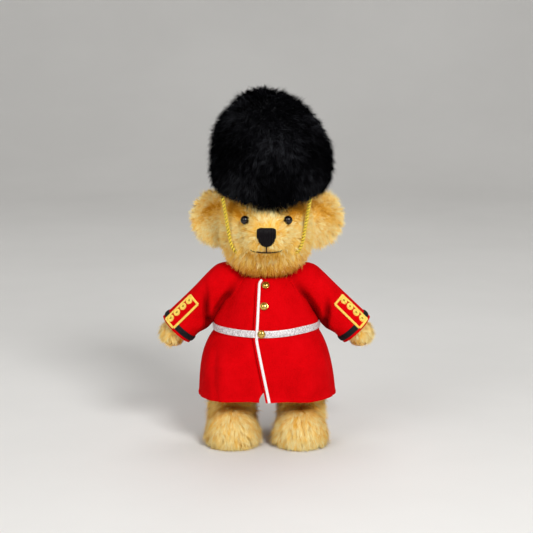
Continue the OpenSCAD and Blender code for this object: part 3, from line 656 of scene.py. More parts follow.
def head_pile(p, n):
    x, y, z = p[:, 0], p[:, 1], p[:, 2] - HEAD_Z
    front, eye = ease(-y, 18, 36), eye_dist(p)
    length = 6.2 * (1 - front) * (1 + 0.35 * ease(-z, 8, 22)) + 4.6 * front
    for least, d, a, b in ((0.35, eye, 3.4, 9.0), (0.5, nose_dist(p), 0.5, 4.0),
                           (0.4, dist_to_line(p, MOUTH), 2.0, 5.5), (0.45, dist_to_line(p, CORD_SEEN), 2.6, 6.0)):
        length = length * (least + (1 - least) * ease(d, a, b))
    comb = unit(p - NOSE_TIP) + ease(-z, -4, 18)[:, None] * vec(0, 0, -1)
    lift = 0.32 + 0.06 * front + 0.3 * ease(-n[:, 2], 0.4, 0.9)
    tone = 0.64 + 0.18 * ease(z, -12, 6) * ease(-y, 5, 24) + 0.14 * hump(x, 12) * ease(z, 7, 13)
    tone += 0.07 * np.sin(x * 0.55 + 2 * np.sin(p[:, 2] * 0.3)) * np.sin(p[:, 2] * 0.6 + 1.3 * np.sin(x * 0.35))
    for depth, u, du, v, dv, start in FACE_SHADE_SPOTS:
        tone -= depth * spot(np.abs(x), u, du, z, v, dv) * (y < -start)
    # Painted shade around the eyes and on the chin and under it
    return length, comb, lift, tone - 0.5 * hump(eye, 5.5) - 0.55 * ease(-z, 14, 28)


fur("head_fur", "head", head_me, 13, head_pile, head_keep, clump=9, pull=0.42, curl=0.13)

# Ears
EAR_R, EAR_CUP, EAR_T, EAR_IN = 19.0, 4.0, 6.0, 1.0
EAR_X, EAR_Y, EAR_UP, EAR_TURN = 35, 1, 5.5, RAD(18)


def ear_profile():
    rr = EAR_R - EAR_IN
    front = [(r, -(EAR_CUP + 1.2) * (1 - (r / EAR_R) ** 2) - EAR_IN) for r in np.linspace(0.01, rr * 0.94, 14)]
    rim = [(rr, -1.6), (rr + 0.3, -3.0), (rr - 0.2, -4.4)]
    back = [(r, -EAR_CUP * (1 - (r / EAR_R) ** 2) - EAR_T + EAR_IN + 0.6 * (r / EAR_R) ** 4)
            for r in np.linspace(rr * 0.94, 0.01, 14)]
    return front + rim + back


def ear_world(p):
    """From the ear's own frame, with Z out of its hollow face, to its place on the left of the head."""
    x, y, z = p[..., 0], -p[..., 2], p[..., 1]
    c, s = COS(EAR_TURN), SIN(EAR_TURN)
    return np.stack([x * c - y * s + EAR_X, x * s + y * c + EAR_Y, z + HEAD_Z + EAR_UP], -1)


ep, ef = lathe(ear_profile(), 72)
ear_me = mesh_from("ear_left_skin", ear_world(ep), ef)
with edited(ear_me) as bm:
    bmesh.ops.recalc_face_normals(bm, faces=bm.faces)
EAR_C = ear_world(vec(0, 0, -2))
EAR_N = unit(ear_world(vec(0, 0, 1)) - ear_world(np.zeros(3)))


def ear(side, tag, seed, trim):
    """One ear's skin and pile. trim shortens the pile of its edge and back."""
    sg = vec(side, 1, 1)

    def keep(p, n):
        inside = np.linalg.norm(p - HEAD_C, axis=1) < HEAD_R - 2
        return ~inside & ~under_hat(p, 3, 37)

    def pile(p, n):
        q = p * sg - EAR_C
        flat = q - (q @ EAR_N)[:, None] * EAR_N
        rr = np.linalg.norm(flat, axis=1)
        facing = (n * sg) @ EAR_N
        length = np.where(facing > 0.2, 3.4 + (2.6 - trim) * ease(rr, 10, 17), 6.0 - trim)
        comb = (unit(flat) * 0.9 + vec(0, 0, -0.35)) * sg
        # Painted shade on the ear's front, in its hollow and along a fold line across it
        x, z = q[:, 0] - 5, q[:, 2] - 5
        painted_shade = spot(0.667 * x + 0.745 * z, 0, 3.6, 0.745 * x - 0.667 * z, 0, 11)
        shade = 0.32 * spot(q[:, 0], 1, 9, q[:, 2], 8, 9) + 0.58 * painted_shade
        return length, comb, 0.36 + 0.15 * ease(rr, 12, 18), 0.82 - ease(facing, 0.1, 0.7) * shade

    me = on_side(ear_me, side)
    skin = link(me, GOLD_SKIN, "head")
    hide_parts("ear_left" if side > 0 else "ear_right")
    fur("ear_%s_fur" % tag, "head", me, seed, pile, keep, clump=6, pull=0.26, curl=0.16)


ear(1, "left", 21, 0.0)
ear(-1, "right", 22, 1.3)


# Nose: a padded shield covered with upright satin stitches
NOSE_GRID = (25, 14)
STITCHES, STITCH_R, MOUTH_R = 17, 0.44, 0.5


def nose_edges(x):
    top = NOSE_UP + NOSE_H / 2 - 0.9 * ease(np.abs(x), 3.6, 6.1)
    low = NOSE_LOW + NOSE_SAG * (1 - np.sqrt(1 - np.minimum(np.abs(x) / (NOSE_W / 2), 1) ** 2))
    return top, np.minimum(low, top - 2.2)


nose = Soup()
rows = []
for x in np.linspace(-NOSE_W / 2 + 0.3, NOSE_W / 2 - 0.3, NOSE_GRID[0]):
    top, low = nose_edges(x)
    rows.append([face_pt(x, u, 0.55) for u in np.linspace(low, top, NOSE_GRID[1])])
nose.add(rows, [tuple(q[::-1]) for q in grid_quads(*NOSE_GRID)])
for j, x in enumerate(np.linspace(-NOSE_W / 2 + 0.35, NOSE_W / 2 - 0.35, STITCHES)):
    top, low = nose_edges(x)
    ups = np.linspace(low - 0.1, top + 0.1, 16)
    outs = 0.15 + 1.25 * np.sin(np.linspace(0.12, PI - 0.12, 16)) ** 0.45
    jog = 0.08 * math.sin(j * 2.3)
    nose.tube([face_pt(x + jog, u, o) for u, o in zip(ups, outs)], STITCH_R, 7)
nose_ob = link(nose.mesh("nose_stitches"), BLACK_THREAD, "head")
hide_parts("nose")
mouth = Soup()
mouth.tube([face_pt(0, u, 1.1) for u in np.linspace(NOSE_LOW + 0.6, MOUTH_UP - 0.3, 12)], 0.46, 8)
for s in (1, -1):
    xs = np.linspace(0, MOUTH_HALF, 20)
    outs = 1.2 - 1.0 * ease(xs, 9.0, MOUTH_HALF)
    mouth.tube([mouth_pt(s * x, o) for x, o in zip(xs, outs)], MOUTH_R - 0.22 * (xs / MOUTH_HALF) ** 2, 8)
mouth_ob = link(mouth.mesh("mouth_stitches"), BLACK_THREAD, "head")
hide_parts("mouth")

# Chin cord: two plies laid round each other, sunk in the pile under the chin
PLY_PITCH, PLY_OFF, PLY_R = 4.4, 0.72, 0.7
CORD_OUT, CORD_SUNK = 2.7, 1.4
cord = Soup()
step = travel(CORD)
fine = np.linspace(0, step[-1], 700)
mid = np.stack([np.interp(fine, step, CORD[:, k]) for k in range(3)], 1)
t = unit(np.gradient(mid, axis=0))
out = unit(vec(0, -1, 0) - t * (t @ vec(0, -1, 0))[:, None])
other = np.cross(t, out)
mid = mid + (CORD_OUT * ease(mid[:, 2] - HEAD_Z, -19, -11) - CORD_SUNK)[:, None] * unit(mid - HEAD_C)
for ply in (0, PI):
    a = fine * TAU / PLY_PITCH + ply
    cord.tube(mid + PLY_OFF * (np.cos(a)[:, None] * out + np.sin(a)[:, None] * other), PLY_R, 8)
cord_me = cord.mesh("chin_cord_twist")
# Painted shade where the plies meet, near the cord's middle line
mark_painted_shade(cord_me, 1 - ease(dist_to_line(mesh_arrays(cord_me)[0], mid), 0.75, 1.15))
cord_ob = link(cord_me, GOLD_CORD, "head")
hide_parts("chin_cord")

# Hat
HAT_RIM, HAT_R, HAT_MID, HAT_H = 38.0, 42.0, 16.0, 69.0
HAT_IN, FILL_IN, HAT_LEAN, HAT_DIP = 2.4, 2.0, 3.2, 2.2


def hat_form(name, i):
    """The hat's dome, set in by i, a little lopsided, leaning, and drawn down at the front edge."""
    rim = HAT_RIM - i
    rows = [(rim - 3.5, 0.6), (rim - 1.5, 0.2), (rim, 1.0)]
    rows += [(rim + (HAT_R - HAT_RIM) * ease(h, 0, HAT_MID), h) for h in np.linspace(2, HAT_MID - 1, 8)]
    rows += [((HAT_R - i) * COS(a) ** 1.14, HAT_MID + (HAT_H - HAT_MID - i) * SIN(a))
             for a in np.linspace(0, PI / 2 - 0.005, 40)]
    hp, hf = lathe(rows, 96)
    x, y, z = hp.T
    swell = 0.5 * np.sin(3 * np.arctan2(y, x) + 0.7) * ease(z, 4, 30) + 1.5 * (1 - ease(z, 2, 18))
    hp[:, :2] += unit(hp[:, :2]) * swell[:, None]
    z -= HAT_DIP * hump(x, 15) * ease(-y, 20, 34) * ease(9 - z, 0, 8)
    x += HAT_LEAN * (1 - ease(z, 15, 66))
    return mesh_from(name, hat_world(hp), hf)


def hat_pile(p, n):
    x, y, z = hat_local(p).T
    ring = hat_world(np.stack([-y, x, 0 * x], 1)) - hat_world(np.zeros((1, 3)))
    swirl = np.sin(x * 0.09 + 1.0) * np.cos(z * 0.08)
    length = 7.6 - (3.2 - 3.4 * ease(-y, 22, 35)) * ease(10 - z, 0, 9)
    lift = 0.62 + 0.12 * np.sin(x * 0.16) * np.sin(z * 0.14 + 2) - 0.2 * ease(8 - z, 0, 8) * ease(-y, 4, 34)
    # The paler patches are painted sheen
    tone = 0.42 + 0.3 * np.sin(x * 0.11 + 0.8) * np.sin(z * 0.10 + y * 0.07)
    return length, vec(0, 0, -1) + 0.35 * unit(ring) * swirl[:, None], lift, tone


hat_me = hat_form("hat_skin", HAT_IN)
hat_skin = link(hat_me, HAT_SKIN, "head")
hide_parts("hat_plush")
fill_me = hat_form("hat_filling", HAT_IN + FILL_IN)
fill_pts, _, fill_nor = mesh_arrays(fill_me)
tuft = np.sin(fill_pts[:, 0] * 0.4) * np.sin(fill_pts[:, 1] * 0.37 + 1) * np.sin(fill_pts[:, 2] * 0.33)
fill_pts[:, 2] += 2.0 * (1 - ease(hat_local(fill_pts)[:, 2], 0, 12))
moved(fill_me, fill_pts - fill_nor * (0.5 + 0.5 * tuft)[:, None])
filling = link(fill_me, STUFFING, "head")
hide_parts("hat_stuffing")
fur("hat_fur", "head", hat_me, 31, hat_pile, mat=HAT_FUR, density=2.6, width=0.36, clump=10,
    pull=0.5)

# The hat's lining: a pleated ring of cloth
LINING_R, LINING_W, PLEATS = 26.0, 8.6, 30
lining = []
a = np.linspace(0, TAU, 121)
for f in np.linspace(0, 1, 12):
    rr = LINING_R + LINING_W * f
    pleat = 0.35 * np.sin(PLEATS * a) * (1 - 0.6 * f)
    lining.append(np.stack([rr * np.cos(a), rr * np.sin(a), 0.55 + pleat], 1))
lining_me = sheet_mesh("hat_lining_cloth", hat_world(np.array(lining)), 0.4, (0, 0, HAT_Z + 30))
lining_ob = link(lining_me, HAT_SKIN, "head")
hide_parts("hat_lining")

# Torso, flattened where the arms turn on it and hollowed where the legs do
TORSO_IN = 1.5
# The shoulder: its place, the lean of its pin, the pin's direction and one across it
SH, SH_LEAN = vec(20.6155, 0, 111.4247), RAD(33)
SH_N = vec(COS(SH_LEAN), 0, SIN(SH_LEAN))
SH_X = vec(SIN(SH_LEAN), 0, -COS(SH_LEAN))
top_a = math.asin((NECK_Z - 0.6 - TORSO_Z) / (TORSO_TOP - TORSO_IN))
prof = dome(TORSO_R - TORSO_IN, TORSO_Z, TORSO_LOW - TORSO_IN, -POLE, 0, 24)
prof += dome(TORSO_R - TORSO_IN, TORSO_Z, TORSO_TOP - TORSO_IN, 0, top_a, 26)[1:]
xp, xf = lathe(prof + [(r, NECK_Z - 0.4) for r in (12.0, 5.0, 0.01)], 96)
for s in (1, -1):
    q = xp * vec(s, 1, 1)
    q = q - np.maximum((q - SH) @ SH_N + 0.2, 0)[:, None] * SH_N
    near_hip = (np.hypot(q[:, 1], q[:, 2] - HIP_Z) < POCKET_R + 0.6) & (q[:, 0] > HIP_X - 0.4)
    q[near_hip, 0] = HIP_X - 0.4
    xp = q * vec(s, 1, 1)
torso_me = mesh_from("torso_skin", xp, xf)
torso_ob = link(torso_me, GOLD_SKIN, "torso")
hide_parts("torso_plush")


def under_keep(p, n):
    pocket = (np.hypot(p[:, 1], p[:, 2] - HIP_Z) < POCKET_R + 2) & (np.abs(p[:, 0]) > HIP_X - 3)
    return (p[:, 2] < 66) & ~pocket


fur("torso_fur", "torso", torso_me, 41, lambda p, n: (4.0, vec(0, 0.2, -1), 0.35, 0.4), under_keep, density=1.2,
    width=0.4, pull=0.4)

# Arms
ARM_D = vec(math.sqrt(0.5), 0, -math.sqrt(0.5))
ARM_X = vec(-math.sqrt(0.5), 0, -math.sqrt(0.5))
ARM_Y = vec(0, 1, 0)
CAP_MID = 9.5
ARM_0 = SH + CAP_MID * SH_N
ARM_R, ARM_L, PAW_R, ARM_CAP_R, ARM_CAP_H, ARM_IN = 9.3, 63.0, 9.6, 11, 19, 1.2
SLEEVE_L, SLEEVE_R, SLEEVE_WIDER, SLEEVE_T = 51.0, 12.0, 1.2, 1.3
SLEEVE_CAP_R, SLEEVE_CAP_H, SLEEVE_PAST = 12.9, 20.9, 5


def in_axes(p, origin, x, z):
    p = np.asarray(p, float)
    return origin + p[..., 0:1] * x + p[..., 1:2] * ARM_Y + p[..., 2:3] * z


def along_arm(p):
    """From the arm's own frame, with Z along it and X toward the body, to the left arm."""
    return in_axes(p, ARM_0, ARM_X, ARM_D)


def arm_mid(s):
    return along_arm(vec(0, 0, s))


def at_shoulder(p):
    return in_axes(p, SH, SH_X, SH_N)


def sleeve_rad(s):
    return SLEEVE_R + SLEEVE_WIDER * s / SLEEVE_L


def ripple(phi, s):
    """Slight waves of the sleeve near the cuff."""
    return 0.35 * np.sin(3 * phi + 0.5) * ease(s, 30, SLEEVE_L)


def cap_profile(r, low, top):
    rows = [(0.01, low), (r - 1.2, low), (r, low + 1.2)]
    return rows + dome(r, CAP_MID, top - CAP_MID, 0, POLE, 16)


PAW_C, PAD_AXIS = arm_mid(ARM_L - PAW_R), unit(ARM_X + ARM_D)
r0, r1, top = ARM_R - ARM_IN, PAW_R - ARM_IN, ARM_L - ARM_IN
lp, lf = lathe(dome(r0, 0, r0, -POLE, 0, 14) + dome(r1, top - r1, r1, 0, POLE, 16), 40)
pp, pf = lathe(cap_profile(ARM_CAP_R - ARM_IN, 0.9, ARM_CAP_H - ARM_IN), 40)
arm_me = remeshed("arm_left_skin", [(along_arm(lp), lf), (at_shoulder(pp), pf)], 1.4)
arm_pts = mesh_arrays(arm_me)[0]
reach = (arm_pts - ARM_0) @ ARM_D
slim = 0.32 * ease(46 - reach, 0, 8) * ease(reach, 2, 10)
arm_pts = arm_pts + slim[:, None] * (ARM_0 + reach[:, None] * ARM_D - arm_pts)
moved(arm_me, arm_pts + np.maximum(0.6 - (arm_pts - SH) @ SH_N, 0)[:, None] * SH_N)


def paw_fur(side, me, tag, seed):
    sg = vec(side, 1, 1)

    def reach(p):
        return (p * sg - ARM_0) @ ARM_D

    def keep(p, n):
        return (reach(p) > SLEEVE_L - 7) & (unit(p * sg - PAW_C) @ PAD_AXIS < 0.72)

    def pile(p, n):
        length = 4.2 + 2.0 * ease(reach(p), SLEEVE_L - 1, SLEEVE_L + 8)
        # Painted shade: the pile is darker where it faces down
        return length, (ARM_D + vec(0, 0, -0.5)) * sg, 0.36, 0.74 - 0.3 * ease(-n[:, 2], 0.1, 0.9)

    fur("paw_%s_fur" % tag, "arm_" + tag, me, seed, pile, keep, density=3.4, clump=9, pull=0.5)


# Sleeve: the tube along the arm and the round cap at the shoulder as one cloth form, then opened at both ends
prof = dome(SLEEVE_R, 0, SLEEVE_R, -POLE, 0, 14)
prof += [(sleeve_rad(s), s) for s in np.linspace(2, SLEEVE_L + SLEEVE_PAST, 20)]
sp, sf = lathe(prof + [(0.01, SLEEVE_L + SLEEVE_PAST)], 64)
cp, cf = lathe(cap_profile(SLEEVE_CAP_R, -1.5, SLEEVE_CAP_H), 64)
sleeve_form = remeshed("sleeve_form", [(along_arm(sp), sf), (at_shoulder(cp), cf)], 0.75, 14)
# Each sleeve's fold, with the x and z of its ends, its depth and its width, and its fullness at the shoulder
FOLDS = {1: ((43.5, 106), (42.5, 84), 3.2, 1.7), -1: ((43.0, 115), (42.0, 85), 3.4, 1.8)}
PUFF = {1: 0.4, -1: 1.0}
SEAM_DEPTH, UNDERARM_FULL = 3.2, 2.4


def fold(p, n, top, low, depth, wide):
    """A fold sunk into the front of a sleeve between two points, with a swell on the body's side."""
    top, low = np.array(top, float), np.array(low, float)
    length = np.linalg.norm(low - top)
    e = (low - top) / length
    q = p[:, [0, 2]] - top
    f, off = q @ e / length, q @ vec(-e[1], e[0])
    deep = depth * ease(f, -0.15, 0.55) * (1 - ease(f, 0.95, 1.3)) * ease(-n[:, 1], 0.0, 0.6)
    return deep * (hump(off, wide) - 0.25 * hump(off + 2.4 * wide, 1.3 * wide))


def armhole(p, n):
    """How far a point of the sleeve's front is drawn in beside the armhole seam, from 0 to 1."""
    d = (p - SH) @ SH_N
    seam = ease(d, 0.2, 2.0) * (1 - ease(d, 2.4, 8.0)) * ease(-n[:, 1], 0.0, 0.5)
    return seam * (1 - 0.85 * ease(p[:, 2], 104, 122))


def mark_sleeve_shade(ob, side):
    """Mark painted shade on a sleeve: in its fold and beside the armhole."""
    p, _, n = mesh_arrays(ob.data)
    p = p * vec(side, 1, 1)
    top, low, depth, wide = FOLDS[side]
    crease_shade = np.clip(fold(p, n, top, low, 1.0, 1.5 * wide), 0, 1)
    mark_painted_shade(ob.data, 0.75 * armhole(p, n) + 0.85 * crease_shade)


def sleeve_mesh(side, name):
    """A sleeve with its own fold and fullness, made on the left arm."""
    me = sleeve_form.copy()
    me.name = name if side > 0 else "sleeve_cut"
    pts, _, nor = mesh_arrays(me)
    loc = pts - ARM_0
    s, phi = loc @ ARM_D, np.arctan2(loc @ ARM_Y, loc @ ARM_X)
    off = ripple(phi, s) + PUFF[side] * ease(-np.cos(phi), 0.1, 0.9) * hump(s - 3, 13)
    off += UNDERARM_FULL * ease(np.cos(phi), 0.4, 0.95) * ease(s, 18, 26) * (1 - ease(s, 33, 43))
    off -= fold(pts, nor, *FOLDS[side]) + SEAM_DEPTH * armhole(pts, nor)
    moved(me, pts + nor * off[:, None])
    with edited(me) as bm:
        for co, no in ((arm_mid(SLEEVE_L), ARM_D), (SH + 0.1 * SH_N, -SH_N)):
            bmesh.ops.bisect_plane(bm, geom=bm.verts[:] + bm.edges[:] + bm.faces[:], plane_co=co * MM,
                                   plane_no=no, clear_outer=True)
        thicken(bm, SLEEVE_T)
    me.set_sharp_from_angle(angle=RAD(50))
    return me if side > 0 else mirror_x(me, name)


def sleeve_pt(s, deg, out=0.0):
    """A point on the sleeve at a distance along the arm and an angle round it."""
    r = sleeve_rad(s) + out + ripple(RAD((deg + 180) % 360 - 180), s)
    return along_arm(vec(r * COS(RAD(deg)), r * SIN(RAD(deg)), s))


# Cuff: a ribbon band, and a felt patch with an embroidered border and four rings
PATCH_MID, PATCH_A, PATCH_S0, PATCH_S1 = 235.0, 48.0, 24.0, 50.0
BAND_S0, BAND_S1 = 44.7, 49.2
band_a = np.linspace(PATCH_MID + PATCH_A / 2 - 1, PATCH_MID + 360 - PATCH_A / 2 + 1, 90)
band_rows = [[sleeve_pt(BAND_S0 + (BAND_S1 - BAND_S0) * f, d, 0.25 + 0.55 * math.sin(PI * f) ** 0.5)
              for d in band_a] for f in np.linspace(0.02, 0.98, 9)]
band_me = sheet_mesh("cuff_band_left_ribbon", band_rows, 0.6, arm_mid(45.0))
patch_a = np.linspace(PATCH_MID - PATCH_A / 2, PATCH_MID + PATCH_A / 2, 22)
patch_rows = [[sleeve_pt(s, d, 0.55) for d in patch_a] for s in np.linspace(PATCH_S0, PATCH_S1, 28)]
patch_me = sheet_mesh("cuff_patch_left_felt", patch_rows, 0.5, arm_mid(37.0))


def satin(soup, path, width, height, pitch=0.55):
    """A raised line of satin stitch: short threads side by side across a path."""
    path = np.asarray(path, float)
    axis = path - ARM_0
    nrm = unit(axis - (axis @ ARM_D)[:, None] * ARM_D)
    side = unit(np.cross(unit(np.gradient(path, axis=0)), nrm))
    d = travel(path)
    for x in np.arange(pitch / 2, d[-1], pitch):
        p, sd, nn = (np.array([np.interp(x, d, arr[:, k]) for k in range(3)]) for arr in (path, side, nrm))
        arch = [p + sd * (width / 2) * f + nn * height * (1 - abs(f) ** 2.4) for f in np.linspace(-1, 1, 7)]
        soup.tube(arch, pitch * 0.56, 5)


DEG_PER_MM = 360 / (TAU * 13.4)
BORDER_W, BORDER_H, RING_R, RING_W, RING_H, RINGS, CENTRE_R = 1.25, 0.5, 1.75, 1.6, 0.6, 4, 0.95
embroidery, centres = Soup(), Soup()
A0, A1 = PATCH_MID - PATCH_A / 2 + 3.0, PATCH_MID + PATCH_A / 2 - 3.0
S0, S1 = PATCH_S0 + 0.8, PATCH_S1 - 0.8
for deg in (A0, A1):
    satin(embroidery, [sleeve_pt(s, deg, 0.6) for s in np.linspace(S0, S1, 40)], BORDER_W, BORDER_H)
for s in (S0, S1):
    satin(embroidery, [sleeve_pt(s, d, 0.6) for d in np.linspace(A0, A1, 16)], BORDER_W, BORDER_H)
ac = A0 + (RING_R + 1.2) * DEG_PER_MM
for k in range(RINGS):
    sc = S0 + (S1 - S0) * (k + 0.5) / RINGS
    loop = [sleeve_pt(sc + RING_R * COS(x), ac + RING_R * DEG_PER_MM * SIN(x), 0.6)
            for x in np.linspace(0, TAU, 36)]
    satin(embroidery, loop, RING_W, RING_H, 0.5)
    for w in (-0.6, -0.2, 0.2, 0.6):
        half = math.sqrt(CENTRE_R ** 2 - w * w)
        centres.tube([sleeve_pt(sc + u, ac + w * DEG_PER_MM, 0.75) for u in np.linspace(-half, half, 6)], 0.26, 6)
embroidery_me = embroidery.mesh("cuff_patch_left_embroidery")
centres_me = centres.mesh("cuff_patch_left_centres")

# Paw pad: a felt cap on the inside of the paw
PAD_A, PAD_OUT = RAD(38), 0.9
pad_e2 = np.cross(PAD_AXIS, ARM_Y)
pad_rows = []
for a in np.linspace(0.02, PAD_A, 10):
    r = PAW_R + PAD_OUT - 0.25 * (a / PAD_A) ** 4
    pad_rows.append([PAW_C + r * (COS(a) * PAD_AXIS + SIN(a) * (COS(b) * ARM_Y + SIN(b) * pad_e2))
                     for b in np.linspace(0, TAU, 49)])
paw_me = sheet_mesh("paw_pad_left_felt", pad_rows, 0.8, PAW_C)


def on_arm(me, mat, node, body):
    ob = link(me, mat, body)
    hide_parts(node)
    return ob


for side, tag in SIDES:
    body = "arm_" + tag
    me = on_side(arm_me, side)
    skin = link(me, GOLD_SKIN, body)
    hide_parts("arm_%s_plush" % tag)
    paw_fur(side, me, tag, 51 if side > 0 else 52)
    slv = on_arm(sleeve_mesh(side, "sleeve_%s_felt" % tag), RED_FELT, "sleeve_" + tag, body)
    # Painted shade in the sleeve's fold and beside its armhole
    mark_sleeve_shade(slv, side)
    on_arm(on_side(band_me, side), BLACK_RIBBON, "cuff_band_" + tag, body)
    patch = on_arm(on_side(patch_me, side), RED_FELT, "cuff_patch_" + tag, body)
    on_arm(on_side(embroidery_me, side), YELLOW_THREAD, "cuff_patch_" + tag, body)
    on_arm(on_side(centres_me, side), OLIVE_THREAD, "cuff_patch_" + tag, body)
    pad = on_arm(on_side(paw_me, side), TAN_FELT, "paw_pad_" + tag, body)

# Legs
LEG_X, TOE_X, TOE_Y, TOE_R, TOE_Z, FOOT_H = 25.0, 24.5, 16.0, 18.5, 8, 28.0
ANKLE_R, ANKLE_Z, THIGH_R, LEG_IN = 15, 20, 12, 0.4
ankle, thigh, low = ANKLE_R - LEG_IN, THIGH_R - LEG_IN, 1.0 + LEG_IN
prof = [(0.01, low), (13.5 - LEG_IN, low), (ankle, 4.0)] + [(ankle, z) for z in np.linspace(6, ANKLE_Z, 6)]
prof += [(ankle - (ANKLE_R - THIGH_R) * f, ANKLE_Z + (HIP_Z - ANKLE_Z) * f) for f in np.linspace(0.1, 1, 10)]
gp, gf = lathe(prof + dome(thigh, HIP_Z, thigh, 0.1, POLE, 10))
prof = [(0.01, low), (TOE_R - 3.5 - LEG_IN, low), (TOE_R - 0.8 - LEG_IN, 4.5)]
op, of_ = lathe(prof + dome(TOE_R - LEG_IN, TOE_Z, FOOT_H - TOE_Z - LEG_IN, 0, POLE, 16))
leg_me = remeshed("leg_left_skin", [(gp + vec(LEG_X, 0, 0), gf), (op + vec(TOE_X, -TOE_Y, 0), of_)], 1.5, 12)
leg_pts = mesh_arrays(leg_me)[0]
hip = np.hypot(leg_pts[:, 1], leg_pts[:, 2] - HIP_Z) < 27.5
leg_pts[:, 0] = np.where(hip, np.maximum(leg_pts[:, 0], HIP_X + 0.8), leg_pts[:, 0])
moved(leg_me, leg_pts)
ANKLE_FOLD = vec(LEG_X, -15, 31)


def leg_fur(side, me, tag, seed):
    sg = vec(side, 1, 1)

    def keep(p, n):
        x, y, z = (p * sg).T
        dense = 0.28 + 0.72 * (1 - ease(z, 42, 48))
        joint = (np.hypot(y, z - HIP_Z) < 15) & (x < HIP_X + 3)
        return dense * ~joint * ~((n[:, 2] < -0.8) & (z < 5))

    def pile(p, n):
        """The pile lies flatter on the instep and the outer corner of the foot, which the raised skirt touches."""
        q = p * sg
        x, y, z = q.T
        instep = ease(z, 9, 17) * ease(-y, 4, 14)
        outer = ease(x, 27, 35) * ease(-y, 4, 13) * ease(z, 4, 12)
        inner = ease(HIP_X + 6 - x, 0, 6) * ease(z, 41, 47)
        length = (8.4 - 3.0 * ease(z, 36, 50) - 1.4 * instep - 1.8 * outer) * (1 - 0.5 * inner)
        foot = ((1 - ease(z, 26, 36)) * ease(-y, 0, 12))[:, None]
        comb = (foot * unit(q - ANKLE_FOLD) * 1.1 + vec(0, 0, -0.75)) * sg
        lift = 0.36 + 0.06 * ease(-y, 6, 26) - 0.08 * ease(z, 34, 46) - (0.14 * instep + 0.12 * outer)
        # Painted shade in the fold between foot and leg and up the leg toward the hem; paler toward the toes
        tone = 0.66 - 0.42 * hump(np.linalg.norm(q - ANKLE_FOLD, axis=1), 8)
        return length, comb, lift, tone - 0.2 * ease(z, 32, 44) + 0.1 * ease(-y, 14, 32)

    fur("leg_%s_fur" % tag, "leg_" + tag, me, seed, pile, keep, clump=10, pull=0.5, curl=0.13, floor=0.5)


SOLE_MID, SOLE_HEEL_R, SOLE_TOE_R, SOLE_REACH = np.array([LEG_X + 0.5, -7.0]), 13.2, 15.6, 24.0
heel, toe = np.array([LEG_X, 0.0]), np.array([TOE_X, -TOE_Y])
sole_rows = []
for f in np.linspace(0.02, 1, 12):
    row = []
    for b in np.linspace(0, TAU, 65):
        u = np.array([COS(b), SIN(b)])
        reach = max((heel - SOLE_MID) @ u + SOLE_HEEL_R, (toe - SOLE_MID) @ u + SOLE_TOE_R)
        row.append([*(SOLE_MID + u * min(reach, SOLE_REACH) * f * 0.96), 0.12 + 0.25 * f ** 6])
    sole_rows.append(row)
sole_me = sheet_mesh("foot_pad_left_felt", sole_rows, 1.1, (LEG_X, -7, 40))
for side, tag in SIDES:
    me = on_side(leg_me, side)
    skin = link(me, GOLD_SKIN, "leg_" + tag)
    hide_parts("leg_%s_plush" % tag)
    leg_fur(side, me, tag, 61 if side > 0 else 62)
    sole = link(on_side(sole_me, side), TAN_FELT, "leg_" + tag)
    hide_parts("foot_pad_" + tag)

# Coat: half widths at waist and hem, where it fits closely, the front edge, how far the fronts lap, the collar
WAIST_HALF_X, HEM_HALF_X, WAIST_HALF_Y, HEM_HALF_Y = 37.4, 48.5, 33.8, 36.5
FIT_Z = NECK_Z - 12
EDGE_X, EDGE_TO_HEM, EDGE_TO_NECK, EDGE_BEND, NECK_RUN = -7.7, 8.7, 1.9, 1.8, 3.5
LAP, UNDER, TUCK = 1.5, 3.0, 1.7
COLLAR_R, COLLAR_IN, COLLAR_H = 13.0, 13.4, 5.0
# The skirt's front flaps end over the back at this angle from the middle of the front
SIDE_A = RAD(70)
# The fullness of the skirt's bell, and the room in its front corners
BELL, CORNER_ROOM = 3.7, 8.3


def snug(z):
    close = np.minimum(z, NECK_Z)
    torso = TORSO_R * np.sqrt(np.maximum(0, 1 - ((close - TORSO_Z) / TORSO_TOP) ** 2))
    return torso + 0.4 + FELT - 0.75 * np.maximum(0, z - NECK_Z)


def to_hem(z):
    return (WAIST_Z - z) / (WAIST_Z - HEM_Z)


def coat_half(z, waist, hem):
    z = np.asarray(z, float)
    high = snug(z) + (waist - snug(WAIST_Z)) * np.maximum(0, (FIT_Z - z) / (FIT_Z - WAIST_Z))
    return np.where(z < WAIST_Z, waist + (hem - waist) * to_hem(z), high)


def coat_x(z):
    return coat_half(z, WAIST_HALF_X, HEM_HALF_X)


def coat_y(z):
    return coat_half(z, WAIST_HALF_Y, HEM_HALF_Y)


def edge_a(z, dx=0.0):
    """Angle of the overlapping front edge, or of a line beside it."""
    z = np.asarray(z, float)
    neck = COAT_TOP - NECK_RUN
    high = EDGE_X + EDGE_TO_NECK * (z - WAIST_Z) / (neck - WAIST_Z)
    bend = EDGE_X + EDGE_TO_NECK + EDGE_BEND * (np.maximum(z - neck, 0) / NECK_RUN) ** 2
    x = np.where(z < WAIST_Z, EDGE_X + EDGE_TO_HEM * to_hem(z), np.where(z < neck, high, bend))
    return np.arcsin(np.clip((x + dx) / coat_x(z), -1, 1))


def coat_pt(a, z, out=0.0):
    return np.stack(np.broadcast_arrays((coat_x(z) + out) * np.sin(a), -(coat_y(z) + out) * np.cos(a), z), -1)


